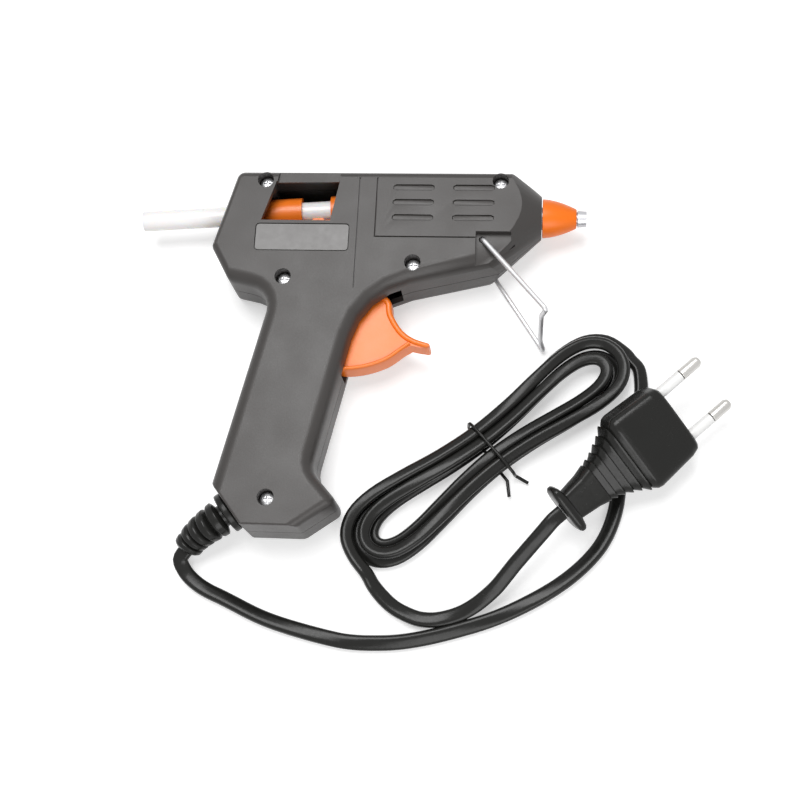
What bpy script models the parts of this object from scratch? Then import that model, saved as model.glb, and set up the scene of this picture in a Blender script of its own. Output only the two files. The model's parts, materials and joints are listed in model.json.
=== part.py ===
"""A mini hot glue gun with its feed works, heater and mains cord, the cord tied in a hank.

The gun lies on its left side on a table. The origin is on the table, in line with the
trigger's pivot. +X runs to the nozzle, +Y to the gun's top and +Z up through the gun's
thickness. Lengths are in metres.
"""

import math

import bmesh
import bpy
from mathutils import Matrix, Vector
from mathutils.geometry import interpolate_bezier

MM = 0.001
GAP = 0.3 * MM
OVERRUN = 1.0 * MM

# The case: two halves that meet across its thickness
CASE_LENGTH = 115.5 * MM
CASE_HEIGHT = 128.1 * MM
CASE_THICKNESS = 25.0 * MM
CASE_WALL = 2.0 * MM
MIDDLE = CASE_THICKNESS / 2
HALF_DEPTH = MIDDLE
ROOM = HALF_DEPTH - CASE_WALL
LEAST_FILLET = 0.15 * MM

# The outline's corners, anticlockwise from the top of the rear: x of the length, y of the
# height, the corner's fillet and the rounding of the edge that follows, both of the thickness
OUTLINE_SHARES = (
    (-0.341, 0.339, 0.120, 0.080),
    (-0.407, 0.113, 0.060, 0.100),
    (-0.348, 0.019, 0.120, 0.180),
    (-0.213, -0.008, 0.320, 0.200),
    (-0.345, -0.549, 0.060, 0.040),
    (-0.248, -0.661, 0.040, 0.032),
    (-0.080, -0.661, 0.080, 0.120),
    (0.029, -0.590, 0.100, 0.160),
    (-0.055, -0.507, 0.280, 0.200),
    (0.064, -0.010, 1.040, 0.200),
    (0.469, 0.077, 0.040, 0.060),
    (0.593, 0.179, 0.032, 0.000),
    (0.593, 0.298, 0.032, 0.040),
    (0.505, 0.339, 0.080, 0.100),
)
HEEL_CORNER_INDEX = 4
NOSE_CORNER_INDEX = 11
LAYER_SHARES = (1.0, 0.55, 0.26, 0.07, 0.0)
ARC_STEP = math.radians(18)

# The nose: a solid bulkhead, tapered round the nozzle
BULKHEAD = 9.0 * MM
NOSE_TAPER_LENGTH = 21.0 * MM
NOSE_FACE_RADIUS = 7.6 * MM
NOSE_SLOPE_Y = 0.95
NOSE_SLOPE_Z = 0.72

# Case screws
SCREW_SHARES = ((-0.254, 0.311), (0.468, 0.311), (-0.178, 0.025), (0.212, 0.070), (-0.177, -0.588))
SCREW_HEAD_RADIUS = 2.5 * MM
SCREW_HEAD_HEIGHT = 1.8 * MM
SCREW_SHANK_RADIUS = 1.25 * MM
SCREW_LENGTH = 14.8 * MM
SCREW_SEAT = 7.0 * MM
SEAT_THICKNESS = 1.2 * MM
HEAD_CLEARANCE = 0.4 * MM
CUP_WALL = 0.5 * MM
BOSS_WALL = 0.75 * MM
CROSS_WIDTH = 0.55 * MM
CROSS_LENGTH = 2.7 * MM
CROSS_DEPTH = 0.9 * MM

# Marks in the case's faces
WINDOW_SHARES = ((-0.259, 0.190), (-0.046, 0.190), (-0.023, 0.309), (-0.220, 0.306))
WINDOW_LIP_DEPTH = 1.2 * MM
LABEL_LOW_SHARES = (-0.274, 0.100)
LABEL_HIGH_SHARES = (0.016, 0.181)
LABEL_DEPTH = 0.9 * MM
LABEL_CORNER = 1.4 * MM
LABEL_THICKNESS = 0.5 * MM
GROOVE_WIDTH = 0.5 * MM
GROOVE_DEPTH = 0.4 * MM
GRIP_GROOVE_SHARES = ((0.039, -0.004), (0.039, 0.317))
PANEL_UPRIGHT_SHARES = ((0.093, 0.144), (0.093, 0.317))
PANEL_LINE_SHARES = ((0.093, 0.144), (0.459, 0.144))
SLOT_COLUMN_SHARES = (0.141, 0.324)
SLOT_ROW_SHARES = (0.201, 0.246, 0.290)
SLOT_LENGTH = 14.8 * MM
SLOT_WIDTH = 2.3 * MM
SLOT_DEPTH = 0.6 * MM

# Glue stick and the line that it feeds along
STICK_RADIUS = 3.6 * MM
STICK_CLEARANCE = 0.3 * MM
STICK_START_SHARE = -0.658
STICK_END_SHARE = 0.190
FEED_SHARES = (-0.411, 0.239)
FEED_TILT = math.radians(4)
REAR_HOLE_CLEARANCE = 1.0 * MM

# Feed carriage, measured along the feed line
COLLAR_WALL = 1.3 * MM
REAR_COLLAR_SHARES = (-0.277, -0.150)
FRONT_COLLAR_SHARES = (-0.059, -0.016)
BAR_START_SHARE = -0.277
FEED_TRAVEL = 7.1 * MM
BAR_HALF_WIDTH = 3.0 * MM
BAR_HEIGHT = 2.8 * MM
BAR_OVERLAP = 0.5 * MM
LUG_THICKNESS = 2.5 * MM
LUG_REACH = 0.7 * MM
SHELF_SHARES = (-0.312, -0.030)
SHELF_THICKNESS = 1.3 * MM

# Gripping jaw under the stick
JAW_SHARE = -0.100
JAW_HALF_WIDTH = 1.8 * MM
JAW_PIN_RADIUS = 0.8 * MM
JAW_PIN_CLEARANCE = 0.3 * MM
JAW_HUB_RADIUS = 1.75 * MM
EAR_HALF_LENGTH = 2.0 * MM
EAR_RISE = 0.9 * MM

# Trigger, hinged at the origin
TRIGGER_THICKNESS = 9.6 * MM
TRIGGER_PITCH = 1.8 * MM
TRIGGER_RECESS = 1.0 * MM
TRIGGER_BAND = 3.2 * MM
TRIGGER_SIDE_GAP = 0.3 * MM
TRIGGER_FRONT_SHARES = (
    (0.130, -0.003),
    (0.146, -0.022),
    (0.154, -0.058),
    (0.184, -0.101),
    (0.219, -0.124),
    (0.266, -0.138),
)
TRIGGER_LIP_SHARES = ((0.270, -0.144), (0.266, -0.151), (0.240, -0.149), (0.213, -0.144))
TRIGGER_ARC_SHARES = (
    (0.187, -0.159),
    (0.146, -0.187),
    (0.100, -0.205),
    (0.055, -0.215),
    (0.013, -0.218),
    (-0.026, -0.212),
)
TRIGGER_TOP_SHARE = 0.020
SLOT_FRONT_SHARE = 0.176
SLOT_TOP_SHARE = 0.030
SLOT_FOOT_SHARE = -0.236
SLOT_BACK_SHARE = -0.020
HUB_RADIUS = 4.5 * MM
PIVOT_RADIUS = 1.5 * MM
PIVOT_BOSS_WALL = 1.4 * MM
PIVOT_DEPTH = 10.0 * MM
ARM_HALF_WIDTH = 1.8 * MM
ARM_HALF_THICKNESS = 3.0 * MM
ARM_TIP_RADIUS = 2.0 * MM
ARM_SHARES = (-0.004, 0.187)

# Return spring between the arm and a seat in the case
SPRING_RADIUS = 2.6 * MM
SPRING_WIRE_RADIUS = 0.35 * MM
SPRING_TURNS = 7
SPRING_POINTS = 8
SPRING_HEIGHT_SHARE = 0.154
SPRING_SEAT_SHARE = 0.137
SEAT_RIB_THICKNESS = 1.6 * MM

# Heater: melt chamber, its block and the stack in it
CHAMBER_RADIUS = 7.8 * MM
CHAMBER_SHARES = (0.121, 0.398)
CHAMBER_HEIGHT_SHARE = 0.2576
NOZZLE_HEIGHT_SHARE = 0.243
INLET_WALL = 0.4 * MM
INLET_END_SHARE = 0.260
MELT_BORE_RADIUS = 1.6 * MM
NECK_RADIUS = 4.2 * MM
NECK_WALL = 1.3 * MM
NECK_SEAT = 0.8 * MM
BLOCK_SHARES = (0.156, 0.398)
BLOCK_FOOT_SHARE = 0.113
BLOCK_WALL = 2.0 * MM
HEATER_SHARES = (0.190, 0.364)
HEATER_LOW_SHARE = 0.132
HEATER_HIGH_SHARE = 0.174
HEATER_THICKNESS = 2.2 * MM
ELECTRODE_THICKNESS = 0.5 * MM
ELECTRODE_MARGIN = 2.0 * MM
INSULATION_THICKNESS = 0.4 * MM
INSULATION_MARGIN = 3.0 * MM
TAB_LENGTH = 6.5 * MM
TAB_HALF_HEIGHT = 1.1 * MM
CHAMBER_PAD_SHARES = (0.320, 0.355)
CHAMBER_PAD_HEIGHT = 6.0 * MM

# Inlet sleeve, its spring clip and the ribs that hold it
SLEEVE_LENGTH = 7.4 * MM
SLEEVE_WALL = 1.5 * MM
CLIP_RADIUS = 0.4 * MM
CLIP_POINTS = 20
CLIP_MOUTH = math.radians(40)
CRADLE_THICKNESS = 1.6 * MM

# Nozzle and its sleeve
TIP_CORE_RADIUS = 2.4 * MM
TIP_THREAD_RADIUS = 2.6 * MM
TIP_BODY_RADIUS = 4.0 * MM
TIP_END_RADIUS = 3.0 * MM
TIP_BORE_RADIUS = 1.0 * MM
TIP_MOUTH_RADIUS = 1.7 * MM
TIP_THREAD_LENGTH = 7.0 * MM
TIP_BODY_LENGTH = 1.5 * MM
TIP_END_LENGTH = 3.2 * MM
NOZZLE_SLEEVE_RADIUS = 6.9 * MM
NOZZLE_SLEEVE_END_RADIUS = 3.4 * MM
NOZZLE_SLEEVE_LENGTH = 12.0 * MM
NOZZLE_SLEEVE_STEPS = 5

# Wire stand, hinged across the gun
STAND_WIRE_RADIUS = 0.9 * MM
STAND_PIVOT_SHARES = (0.417, 0.145)
STAND_NEAR_LEG = 36.9 * MM
STAND_FAR_LEG = 40.2 * MM
STAND_REST_ANGLE = math.radians(-52.0)
STAND_FAR_ANGLE = math.radians(-56.5)
STAND_NEAR_RISE = 8.8 * MM
STAND_KINK_DEPTH = 2.4 * MM
STAND_BEND = 2.0 * MM
STAND_FOOT = 1.1 * MM
STAND_PIN_LENGTH = 4.9 * MM
POCKET_DEPTH = 2.4 * MM
POCKET_MARGIN = 1.3 * MM
POCKET_FOOT_SHARE = 0.016
POCKET_REACH_SHARE = 0.545
NEAR_POCKET_FOOT_SHARE = 0.067
NEAR_POCKET_REACH_SHARE = 0.504
PAD_THICKNESS = 2.2 * MM

# Wiring inside the handle
WIRE_RADIUS = 0.8 * MM
WIRE_SPACING = 2.4 * MM
WIRE_PITCH = 5.0 * MM
# The lower wire's way from its terminal to the butt: x of the case's length, y of its height
# and z of its thickness
WIRE_SHARES = (
    (0.485, 0.125, 0.320),
    (0.459, 0.101, 0.272),
    (0.398, 0.101, 0.256),
    (0.346, 0.101, 0.184),
    (0.260, 0.101, 0.136),
    (0.156, 0.099, 0.132),
    (0.052, 0.074, 0.132),
    (-0.056, 0.012, 0.132),
    (-0.095, -0.101, 0.132),
    (-0.130, -0.250, 0.132),
    (-0.165, -0.375, 0.132),
    (-0.195, -0.455, 0.132),
)
CRIMP_WALL = 0.4 * MM
CRIMP_LENGTH = 4.0 * MM

# Cord entry: strain relief in the heel, cord tail and its clamp
CORD_RADIUS = 2.0 * MM
RELIEF_NECK_RADIUS = 4.2 * MM
RELIEF_FLANGE_RADIUS = 7.5 * MM
RELIEF_FLANGE = 3.0 * MM
RELIEF_INNER_RADIUS = 5.6 * MM
RELIEF_INNER_FLANGE = 2.0 * MM
RELIEF_RIBS = 5
RELIEF_RIB_RADIUS = 6.8 * MM
RELIEF_END_RADIUS = 5.0 * MM
RELIEF_GROOVE = 1.5 * MM
RELIEF_CAP = 2.4 * MM
RELIEF_STEP = 0.1 * MM
RELIEF_STRAIGHT = 4.6 * MM
RELIEF_POLE = 6.0 * MM
RELIEF_END_WAY = Vector((-0.50, -0.82, -0.28)).normalized()
RELIEF_END = Vector((-50.2, -90.4, 6.2)) * MM
CLAMP_SHARES = (-0.245, -0.527)
CLAMP_SPAN = 12.0 * MM
CLAMP_WIDTH = 4.0 * MM
CLAMP_THICKNESS = 2.0 * MM
CLAMP_SCREW_LENGTH = 8.0 * MM
POST_RADIUS = 2.2 * MM
TAIL_SHARES = ((-0.245, -0.550), (-0.244, -0.520), (-0.236, -0.480))

# Mains cord: the gun's lead, the hank and the plug's lead
HANK_RADIUS = 1.75 * MM
CORD_POINT_PITCH = 5.0 * MM
LEAD_ROUTE = tuple(
    Vector(point) * MM
    for point in (
        (-50.8, -97.6, 3.3),
        (-45.2, -102.4, 2.3),
        (-36.3, -106.4, 2.05),
        (-20.1, -113.2, 2.05),
        (1.9, -118.5, 2.05),
        (14.5, -119.3, 2.05),
        (27.3, -118.1, 2.05),
        (42.5, -114.2, 2.05),
        (59.7, -107.8, 2.05),
        (77.5, -97.3, 2.05),
        (89.6, -85.5, 2.05),
        (95.2, -73.6, 2.05),
        (97.4, -60.0, 2.05),
        (100.8, -46.4, 2.05),
        (103.8, -35.0, 2.05),
        (104.2, -25.6, 2.05),
    )
)
PLUG_LEAD_ROUTE = tuple(
    Vector(point) * MM
    for point in (
        (14.9, -100.4, 3.6),
        (21.8, -107.0, 2.2),
        (32.7, -110.9, 2.05),
        (44.6, -108.4, 3.2),
        (54.8, -101.2, 6.0),
        (62.8, -91.8, 10.0),
    )
)
HANK_CENTRE = Vector((52.9, -52.6, 0.0)) * MM
HANK_ANGLE = math.radians(39.8)
HANK_HALF_LENGTH = 59.2 * MM
HANK_LENGTH_PITCH = 6.0 * MM
HANK_BULB = 11.0 * MM
HANK_BULB_PITCH = 3.8 * MM
HANK_WAIST = 9.2 * MM
HANK_WAIST_PITCH = 4.4 * MM
HANK_TURNS = 3.5
HANK_LOOP_POINTS = 24
HANK_LEVEL = 2.05 * MM
HANK_LAYER = 4.1 * MM
TIE_RADIUS = 0.6 * MM
TIE_TAIL = 6.0 * MM
TIE_POINTS = 20
TIE_LEAN = 3.2 * MM

# Plug at the cord's end
PLUG_COLLAR = Vector((77.8, -75.0, 14.5)) * MM
PLUG_FACE = Vector((113.9, -41.3, 14.5)) * MM
PLUG_ROLL = math.radians(30)
PLUG_HALF_WIDTH = 15.0 * MM
PLUG_HALF_THICKNESS = 6.85 * MM
# Sections of the plug: place of its length, width and thickness of its half sizes
PLUG_SECTION_SHARES = (
    (0.00, 0.60, 0.66),
    (0.05, 0.60, 0.66),
    (0.06, 0.36, 0.52),
    (0.22, 0.42, 0.60),
    (0.38, 0.54, 0.68),
    (0.50, 0.76, 0.80),
    (0.58, 0.96, 0.95),
    (0.64, 1.00, 1.00),
    (0.93, 0.93, 1.00),
    (1.00, 0.84, 0.86),
)
PLUG_SIDES = 24
PLUG_SQUARENESS = 4.0
PIN_RADIUS = 2.0 * MM
PIN_LENGTH = 19.0 * MM
PIN_SPACING = 18.6 * MM
PIN_SEAT = 6.0 * MM
PIN_SLEEVE_LENGTH = 10.0 * MM
PIN_SLEEVE_WALL = 0.3 * MM

BLACK = ((0.030, 0.030, 0.032, 1.0), 0.55, 0.0)
DARK = ((0.018, 0.018, 0.020, 1.0), 0.45, 0.0)
GREY_LABEL = ((0.045, 0.045, 0.048, 1.0), 0.65, 0.0)
ORANGE = ((1.0, 0.235, 0.030, 1.0), 0.40, 0.0)
STEEL = ((0.62, 0.62, 0.63, 1.0), 0.28, 1.0)
BRASS = ((0.72, 0.58, 0.30, 1.0), 0.30, 1.0)
ALUMINIUM = ((0.62, 0.63, 0.65, 1.0), 0.40, 1.0)
GLUE = ((0.88, 0.86, 0.82, 1.0), 0.45, 0.0)
WHITE = ((0.85, 0.85, 0.83, 1.0), 0.50, 0.0)
CERAMIC = ((0.20, 0.19, 0.18, 1.0), 0.70, 0.0)
AMBER = ((0.55, 0.30, 0.06, 1.0), 0.35, 0.0)
BLUE = ((0.06, 0.16, 0.50, 1.0), 0.45, 0.0)
BROWN = ((0.22, 0.10, 0.05, 1.0), 0.45, 0.0)
SILICONE_WHITE = ((0.75, 0.73, 0.70, 1.0), 0.60, 0.0)

for leftover in list(bpy.data.objects):
    bpy.data.objects.remove(leftover, do_unlink=True)
PARTS = bpy.data.collections.new("hot_glue_applicator")
CUTTERS = bpy.data.collections.new("cutters")
bpy.context.scene.collection.children.link(PARTS)
bpy.context.scene.collection.children.link(CUTTERS)


def across(share):
    """A place along X, as a share of the case's length."""
    return share * CASE_LENGTH


def up(share):
    """A place along Y, as a share of the case's height."""
    return share * CASE_HEIGHT


def spot(shares, z=0.0):
    """A point from its shares of the case's length and height."""
    return Vector((across(shares[0]), up(shares[1]), z))


def new_object(name, data):
    """Link a new object to the parts."""
    item = bpy.data.objects.new(name, data)
    PARTS.objects.link(item)
    return item


def from_bmesh(name, shape):
    """Turn a bmesh into an object and free it."""
    mesh = bpy.data.meshes.new(name)
    shape.normal_update()
    shape.to_mesh(mesh)
    shape.free()
    return new_object(name, mesh)


def block(name, corner, opposite):
    """A box between two opposite corners."""
    corner, opposite = Vector(corner), Vector(opposite)
    shape = bmesh.new()
    bmesh.ops.create_cube(shape, size=1.0)
    size = opposite - corner
    bmesh.ops.scale(shape, vec=(abs(size.x), abs(size.y), abs(size.z)), verts=shape.verts)
    bmesh.ops.translate(shape, vec=(corner + opposite) / 2, verts=shape.verts)
    return from_bmesh(name, shape)


def rod(name, radius, start, end, sides=24, end_radius=None):
    """A cylinder or cone from one point to another."""
    start, end = Vector(start), Vector(end)
    run = end - start
    shape = bmesh.new()
    bmesh.ops.create_cone(
        shape,
        cap_ends=True,
        segments=sides,
        radius1=radius,
        radius2=radius if end_radius is None else end_radius,
        depth=run.length,
    )
    turn = run.to_track_quat("Z", "Y").to_matrix().to_4x4()
    bmesh.ops.transform(shape, matrix=Matrix.Translation((start + end) / 2) @ turn, verts=shape.verts)
    return from_bmesh(name, shape)


def loft(name, rings):
    """A closed skin through rings that hold as many points each."""
    shape = bmesh.new()
    rows = [[shape.verts.new(point) for point in ring] for ring in rings]
    count = len(rows[0])
    for lower, upper in zip(rows, rows[1:]):
        for index in range(count):
            after = (index + 1) % count
            shape.faces.new((lower[index], lower[after], upper[after], upper[index]))
    shape.faces.new(reversed(rows[0]))
    shape.faces.new(rows[-1])
    bmesh.ops.recalc_face_normals(shape, faces=shape.faces)
    return from_bmesh(name, shape)


def mesh_from_curve(name, item):
    """Replace a curve object by its closed mesh."""
    bpy.context.view_layer.update()
    graph = bpy.context.evaluated_depsgraph_get()
    mesh = bpy.data.meshes.new_from_object(item.evaluated_get(graph))
    place = item.matrix_world.copy()
    bpy.data.objects.remove(item, do_unlink=True)
    shape = bmesh.new()
    shape.from_mesh(mesh)
    bmesh.ops.remove_doubles(shape, verts=shape.verts, dist=MM / 1000)
    bmesh.ops.dissolve_limit(
        shape, angle_limit=math.radians(0.5), verts=shape.verts, edges=shape.edges
    )
    shape.to_mesh(mesh)
    shape.free()
    solid = new_object(name, mesh)
    solid.matrix_world = place
    return solid


def slab(name, outline, low, high):
    """A flat outline made thick between two levels."""
    low, high = min(low, high), max(low, high)
    curve = bpy.data.curves.new(name, "CURVE")
    curve.dimensions = "2D"
    curve.fill_mode = "BOTH"
    curve.extrude = (high - low) / 2
    line = curve.splines.new("POLY")
    line.points.add(len(outline) - 1)
    for point, place in zip(line.points, outline):
        point.co = (place[0], place[1], 0.0, 1.0)
    line.use_cyclic_u = True
    item = new_object(name + " outline", curve)
    item.location = (0.0, 0.0, (low + high) / 2)
    return mesh_from_curve(name, item)


def turned(name, profile, start, toward, sides=32, hollow=False):
    """A profile of radius and height turned about a line; heights run from start."""
    mesh = bpy.data.meshes.new(name)
    count = len(profile)
    edges = [(index, index + 1) for index in range(count - 1)]
    if hollow:
        edges.append((count - 1, 0))
    mesh.from_pydata([(radius, 0.0, height) for radius, height in profile], edges, [])
    item = new_object(name, mesh)
    screw = item.modifiers.new("Turn", "SCREW")
    screw.steps = sides
    screw.render_steps = sides
    screw.use_merge_vertices = True
    screw.merge_threshold = MM / 100
    item.rotation_mode = "QUATERNION"
    item.rotation_quaternion = Vector(toward).to_track_quat("Z", "Y")
    item.location = start
    return item


def tube(name, points, radius, resolution=2, radii=None, pivot=None):
    """A wire or cord along its points, its origin on the pivot."""
    pivot = Vector((0.0, 0.0, 0.0)) if pivot is None else Vector(pivot)
    curve = bpy.data.curves.new(name, "CURVE")
    curve.dimensions = "3D"
    curve.bevel_depth = radius
    curve.bevel_resolution = resolution
    curve.use_fill_caps = True
    line = curve.splines.new("POLY")
    line.points.add(len(points) - 1)
    for index, place in enumerate(points):
        line.points[index].co = (*(Vector(place) - pivot), 1.0)
        if radii:
            line.points[index].radius = radii[index] / radius
    item = new_object(name, curve)
    item.location = pivot
    return item


def hide(item):
    """Make an object a tool of the cuts and joins."""
    for group in list(item.users_collection):
        group.objects.unlink(item)
    CUTTERS.objects.link(item)
    item.hide_render = True
    item.display_type = "WIRE"
    return item


def combine(body, tools, operation):
    """Add one Boolean modifier for each tool."""
    for tool in tools:
        change = body.modifiers.new(tool.name, "BOOLEAN")
        change.operation = operation
        change.solver = "EXACT"
        change.object = hide(tool)
    return body


def cut(body, *tools):
    """Take the tools away from the body."""
    return combine(body, tools, "DIFFERENCE")


def join(body, *tools):
    """Make the tools one with the body."""
    return combine(body, tools, "UNION")


def set_pivot(item, pivot):
    """Move an object's origin to a point and leave its mesh in place."""
    item.data.transform(Matrix.Translation(item.location - Vector(pivot)))
    item.location = Vector(pivot)
    return item


def finish(item, name, look, smooth=30):
    """Name a part, give it its material and shade it."""
    colour, roughness, metallic = look
    item.name = name
    item.data.name = name
    material = bpy.data.materials.new(name)
    material.use_nodes = True
    shader = material.node_tree.nodes["Principled BSDF"]
    shader.inputs["Base Color"].default_value = colour
    shader.inputs["Roughness"].default_value = roughness
    shader.inputs["Metallic"].default_value = metallic
    item.data.materials.append(material)
    if item.type == "MESH" and item.data.polygons:
        item.data.shade_smooth()
        item.data.set_sharp_from_angle(angle=math.radians(smooth))
    return item


def smooth_route(points, pitch):
    """Points a pitch apart on a smooth curve through the route's own points."""
    points = [Vector(point) for point in points]
    ends = [2 * points[0] - points[1]] + points + [2 * points[-1] - points[-2]]
    fine = []
    for before, start, end, after in zip(ends, ends[1:], ends[2:], ends[3:]):
        for step in range(16):
            t = step / 16
            fine.append(
                (
                    2 * start
                    + (end - before) * t
                    + (2 * before - 5 * start + 4 * end - after) * t**2
                    + (3 * start - before - 3 * end + after) * t**3
                )
                / 2
            )
    fine.append(points[-1])
    length = sum((b - a).length for a, b in zip(fine, fine[1:]))
    count = max(2, round(length / pitch))
    result, travelled, wanted = [fine[0]], 0.0, length / count
    for a, b in zip(fine, fine[1:]):
        run = (b - a).length
        while run > 0 and travelled + run >= wanted and len(result) < count:
            result.append(a.lerp(b, (wanted - travelled) / run))
            wanted += length / count
        travelled += run
    result.append(fine[-1])
    return result


def ended_route(first, first_way, middle, last, last_way, radius, pitch):
    """A smooth route whose ends run straight for one diameter."""
    run = 2 * radius
    route = [first + first_way * run] + list(middle) + [last - last_way * run]
    return [first] + smooth_route(route, pitch) + [last]


def inset_corner(before, corner, after, inset_in, inset_out):
    """Where the two edges at a corner meet once each has moved inwards, and their directions."""
    arrive = (corner - before).normalized()
    leave = (after - corner).normalized()
    a, b = -arrive.y, arrive.x
    c, d = -leave.y, leave.x
    size = a * d - b * c
    move = Vector(((inset_in * d - inset_out * b) / size, (a * inset_out - c * inset_in) / size))
    return corner + move, arrive, leave


def case_ring(inset, slim, depth, level):
    """The case's outline at one level, moved in by the inset and by its edges' rounding."""
    corners = [Vector((across(x), up(y))) for x, y, _, _ in OUTLINE_SHARES]
    count = len(corners)
    insets = []
    for _, _, _, rounding_share in OUTLINE_SHARES:
        width = max(rounding_share * CASE_THICKNESS - slim, 0.0)
        rounded = width - math.sqrt(width**2 - (width - depth) ** 2) if depth < width else 0.0
        insets.append(inset + rounded)
    ring = []
    for index in range(count):
        fillet = OUTLINE_SHARES[index][2] * CASE_THICKNESS
        place, arrive, leave = inset_corner(
            corners[index - 1],
            corners[index],
            corners[(index + 1) % count],
            insets[index - 1],
            insets[index],
        )
        turn = math.atan2(arrive.cross(leave), arrive.dot(leave))
        mean = (insets[index - 1] + insets[index]) / 2
        radius = max(fillet - mean, LEAST_FILLET) if turn > 0 else fillet + mean
        steps = max(1, round(abs(turn) / ARC_STEP)) if fillet > OVERRUN else 1
        start = place - arrive * radius * math.tan(abs(turn) / 2)
        inward = Vector((-arrive.y, arrive.x)) * math.copysign(radius, turn)
        centre = start + inward
        for step in range(steps + 1):
            angle = turn * step / steps
            spoke = Matrix.Rotation(angle, 2) @ -inward
            ring.append(Vector((*(centre + spoke), level)))
    return ring


def case_solid(name, side, inset, foot):
    """One half's block, or with an inset its hollow, from a foot level to its face."""
    top = HALF_DEPTH - inset
    widest = max(row[3] for row in OUTLINE_SHARES) * CASE_THICKNESS - inset
    rings = [case_ring(inset, inset, CASE_THICKNESS, MIDDLE + side * foot)]
    for share in LAYER_SHARES:
        depth = share * widest
        rings.append(case_ring(inset, inset, depth, MIDDLE + side * (top - depth)))
    return loft(name, rings)


def feed_matrix():
    """The feed line's frame: its X runs along the stick, from the point below x = 0."""
    x, y = across(FEED_SHARES[0]), up(FEED_SHARES[1])
    height = y - x * math.tan(FEED_TILT)
    return Matrix.Translation((0.0, height, MIDDLE)) @ Matrix.Rotation(FEED_TILT, 4, "Z")


def on_feed(item):
    """Lay an object that was made along X on the feed line."""
    item.data.transform(feed_matrix())
    return item


def feed_point(along, below=0.0):
    """A point on the feed line or straight below it."""
    return feed_matrix() @ Vector((along, -below, 0.0))


def heel():
    """The middle of the heel's face, on the parting plane, and the way that it faces."""
    a, b = (spot(OUTLINE_SHARES[HEEL_CORNER_INDEX + step]) for step in (0, 1))
    run = (b - a).normalized()
    return (a + b) / 2 + Vector((0.0, 0.0, MIDDLE)), Vector((run.y, -run.x, 0.0))


def nose_x():
    """Where the nose's flat face is."""
    return across(OUTLINE_SHARES[NOSE_CORNER_INDEX][0])


def nozzle_y():
    """The height of the nozzle's axis."""
    return up(NOZZLE_HEIGHT_SHARE)


def collar_radius():
    """The carriage's collars, outside."""
    return STICK_RADIUS + STICK_CLEARANCE + COLLAR_WALL


def bar_depth():
    """How far the carriage's bar reaches below the feed line."""
    return collar_radius() - BAR_OVERLAP + BAR_HEIGHT


def inlet_sleeve_end():
    """Where the inlet sleeve ends along the feed line, its tilted face clear of the chamber."""
    lean = (STICK_RADIUS + STICK_CLEARANCE + SLEEVE_WALL) * math.sin(FEED_TILT)
    return across(CHAMBER_SHARES[0]) - GAP - lean


def clip_place():
    """Where the sleeve's spring clip sits along the feed line."""
    return inlet_sleeve_end() - SLEEVE_LENGTH * 0.65


def half(side, x, y, height):
    """A point of one half, at a height from the parting plane."""
    return Vector((x, y, MIDDLE + side * height))


def groove(name, side, ends):
    """A narrow straight groove in a face."""
    (x0, y0), (x1, y1) = ((across(x), up(y)) for x, y in ends)
    w = GROOVE_WIDTH / 2
    return block(
        name,
        half(side, x0 - w, y0 - w, HALF_DEPTH - GROOVE_DEPTH),
        half(side, x1 + w, y1 + w, HALF_DEPTH + OVERRUN),
    )


def slot_outline(x, y, length, width):
    """A slot with round ends, from its left end."""
    radius = width / 2
    points = []
    for centre, first in ((x + length - radius, -90), (x + radius, 90)):
        for step in range(4):
            angle = math.radians(first + 60 * step)
            points.append((centre + radius * math.cos(angle), y + radius * math.sin(angle)))
    return points


def label_outline(inset):
    """The rating label's outline with round corners, set in by a distance."""
    low, high = spot(LABEL_LOW_SHARES), spot(LABEL_HIGH_SHARES)
    radius = LABEL_CORNER - inset
    outline = []
    for x, y, first in (
        (high.x, high.y, 0),
        (low.x, high.y, 90),
        (low.x, low.y, 180),
        (high.x, low.y, 270),
    ):
        centre_x = x - math.copysign(LABEL_CORNER, x - (low.x + high.x) / 2)
        centre_y = y - math.copysign(LABEL_CORNER, y - (low.y + high.y) / 2)
        for turn in range(4):
            angle = math.radians(first + 30 * turn)
            outline.append(
                (centre_x + radius * math.cos(angle), centre_y + radius * math.sin(angle))
            )
    return outline


def face_marks(side, label):
    """Cutters for the grooves and slots in one face."""
    marks = [
        groove(label + " grip groove", side, GRIP_GROOVE_SHARES),
        groove(label + " panel upright", side, PANEL_UPRIGHT_SHARES),
        groove(label + " panel line", side, PANEL_LINE_SHARES),
    ]
    floor = MIDDLE + side * (HALF_DEPTH - SLOT_DEPTH)
    above = MIDDLE + side * (HALF_DEPTH + OVERRUN)
    for column in SLOT_COLUMN_SHARES:
        for row in SLOT_ROW_SHARES:
            outline = slot_outline(across(column), up(row), SLOT_LENGTH, SLOT_WIDTH)
            marks.append(slab(label + " slot", outline, floor, above))
    return marks


def nose_taper(side, label):
    """Cutter that leaves the nose as a cone round the nozzle."""
    back = nose_x() - NOSE_TAPER_LENGTH
    front = nose_x() + OVERRUN
    ring = block(
        label + " nose block",
        (back, nozzle_y() - CASE_HEIGHT / 3, MIDDLE - CASE_THICKNESS),
        (front, nozzle_y() + CASE_HEIGHT / 3, MIDDLE + CASE_THICKNESS),
    )
    rings = []
    for x in (back - OVERRUN, front + OVERRUN):
        reach = nose_x() - x
        radius_y = NOSE_FACE_RADIUS + reach * NOSE_SLOPE_Y
        radius_z = NOSE_FACE_RADIUS + reach * NOSE_SLOPE_Z
        rings.append(
            [
                (x, nozzle_y() + radius_y * math.cos(angle), MIDDLE + radius_z * math.sin(angle))
                for angle in (2 * math.pi * step / 36 for step in range(36))
            ]
        )
    return cut(ring, loft(label + " nose cone", rings))


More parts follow.
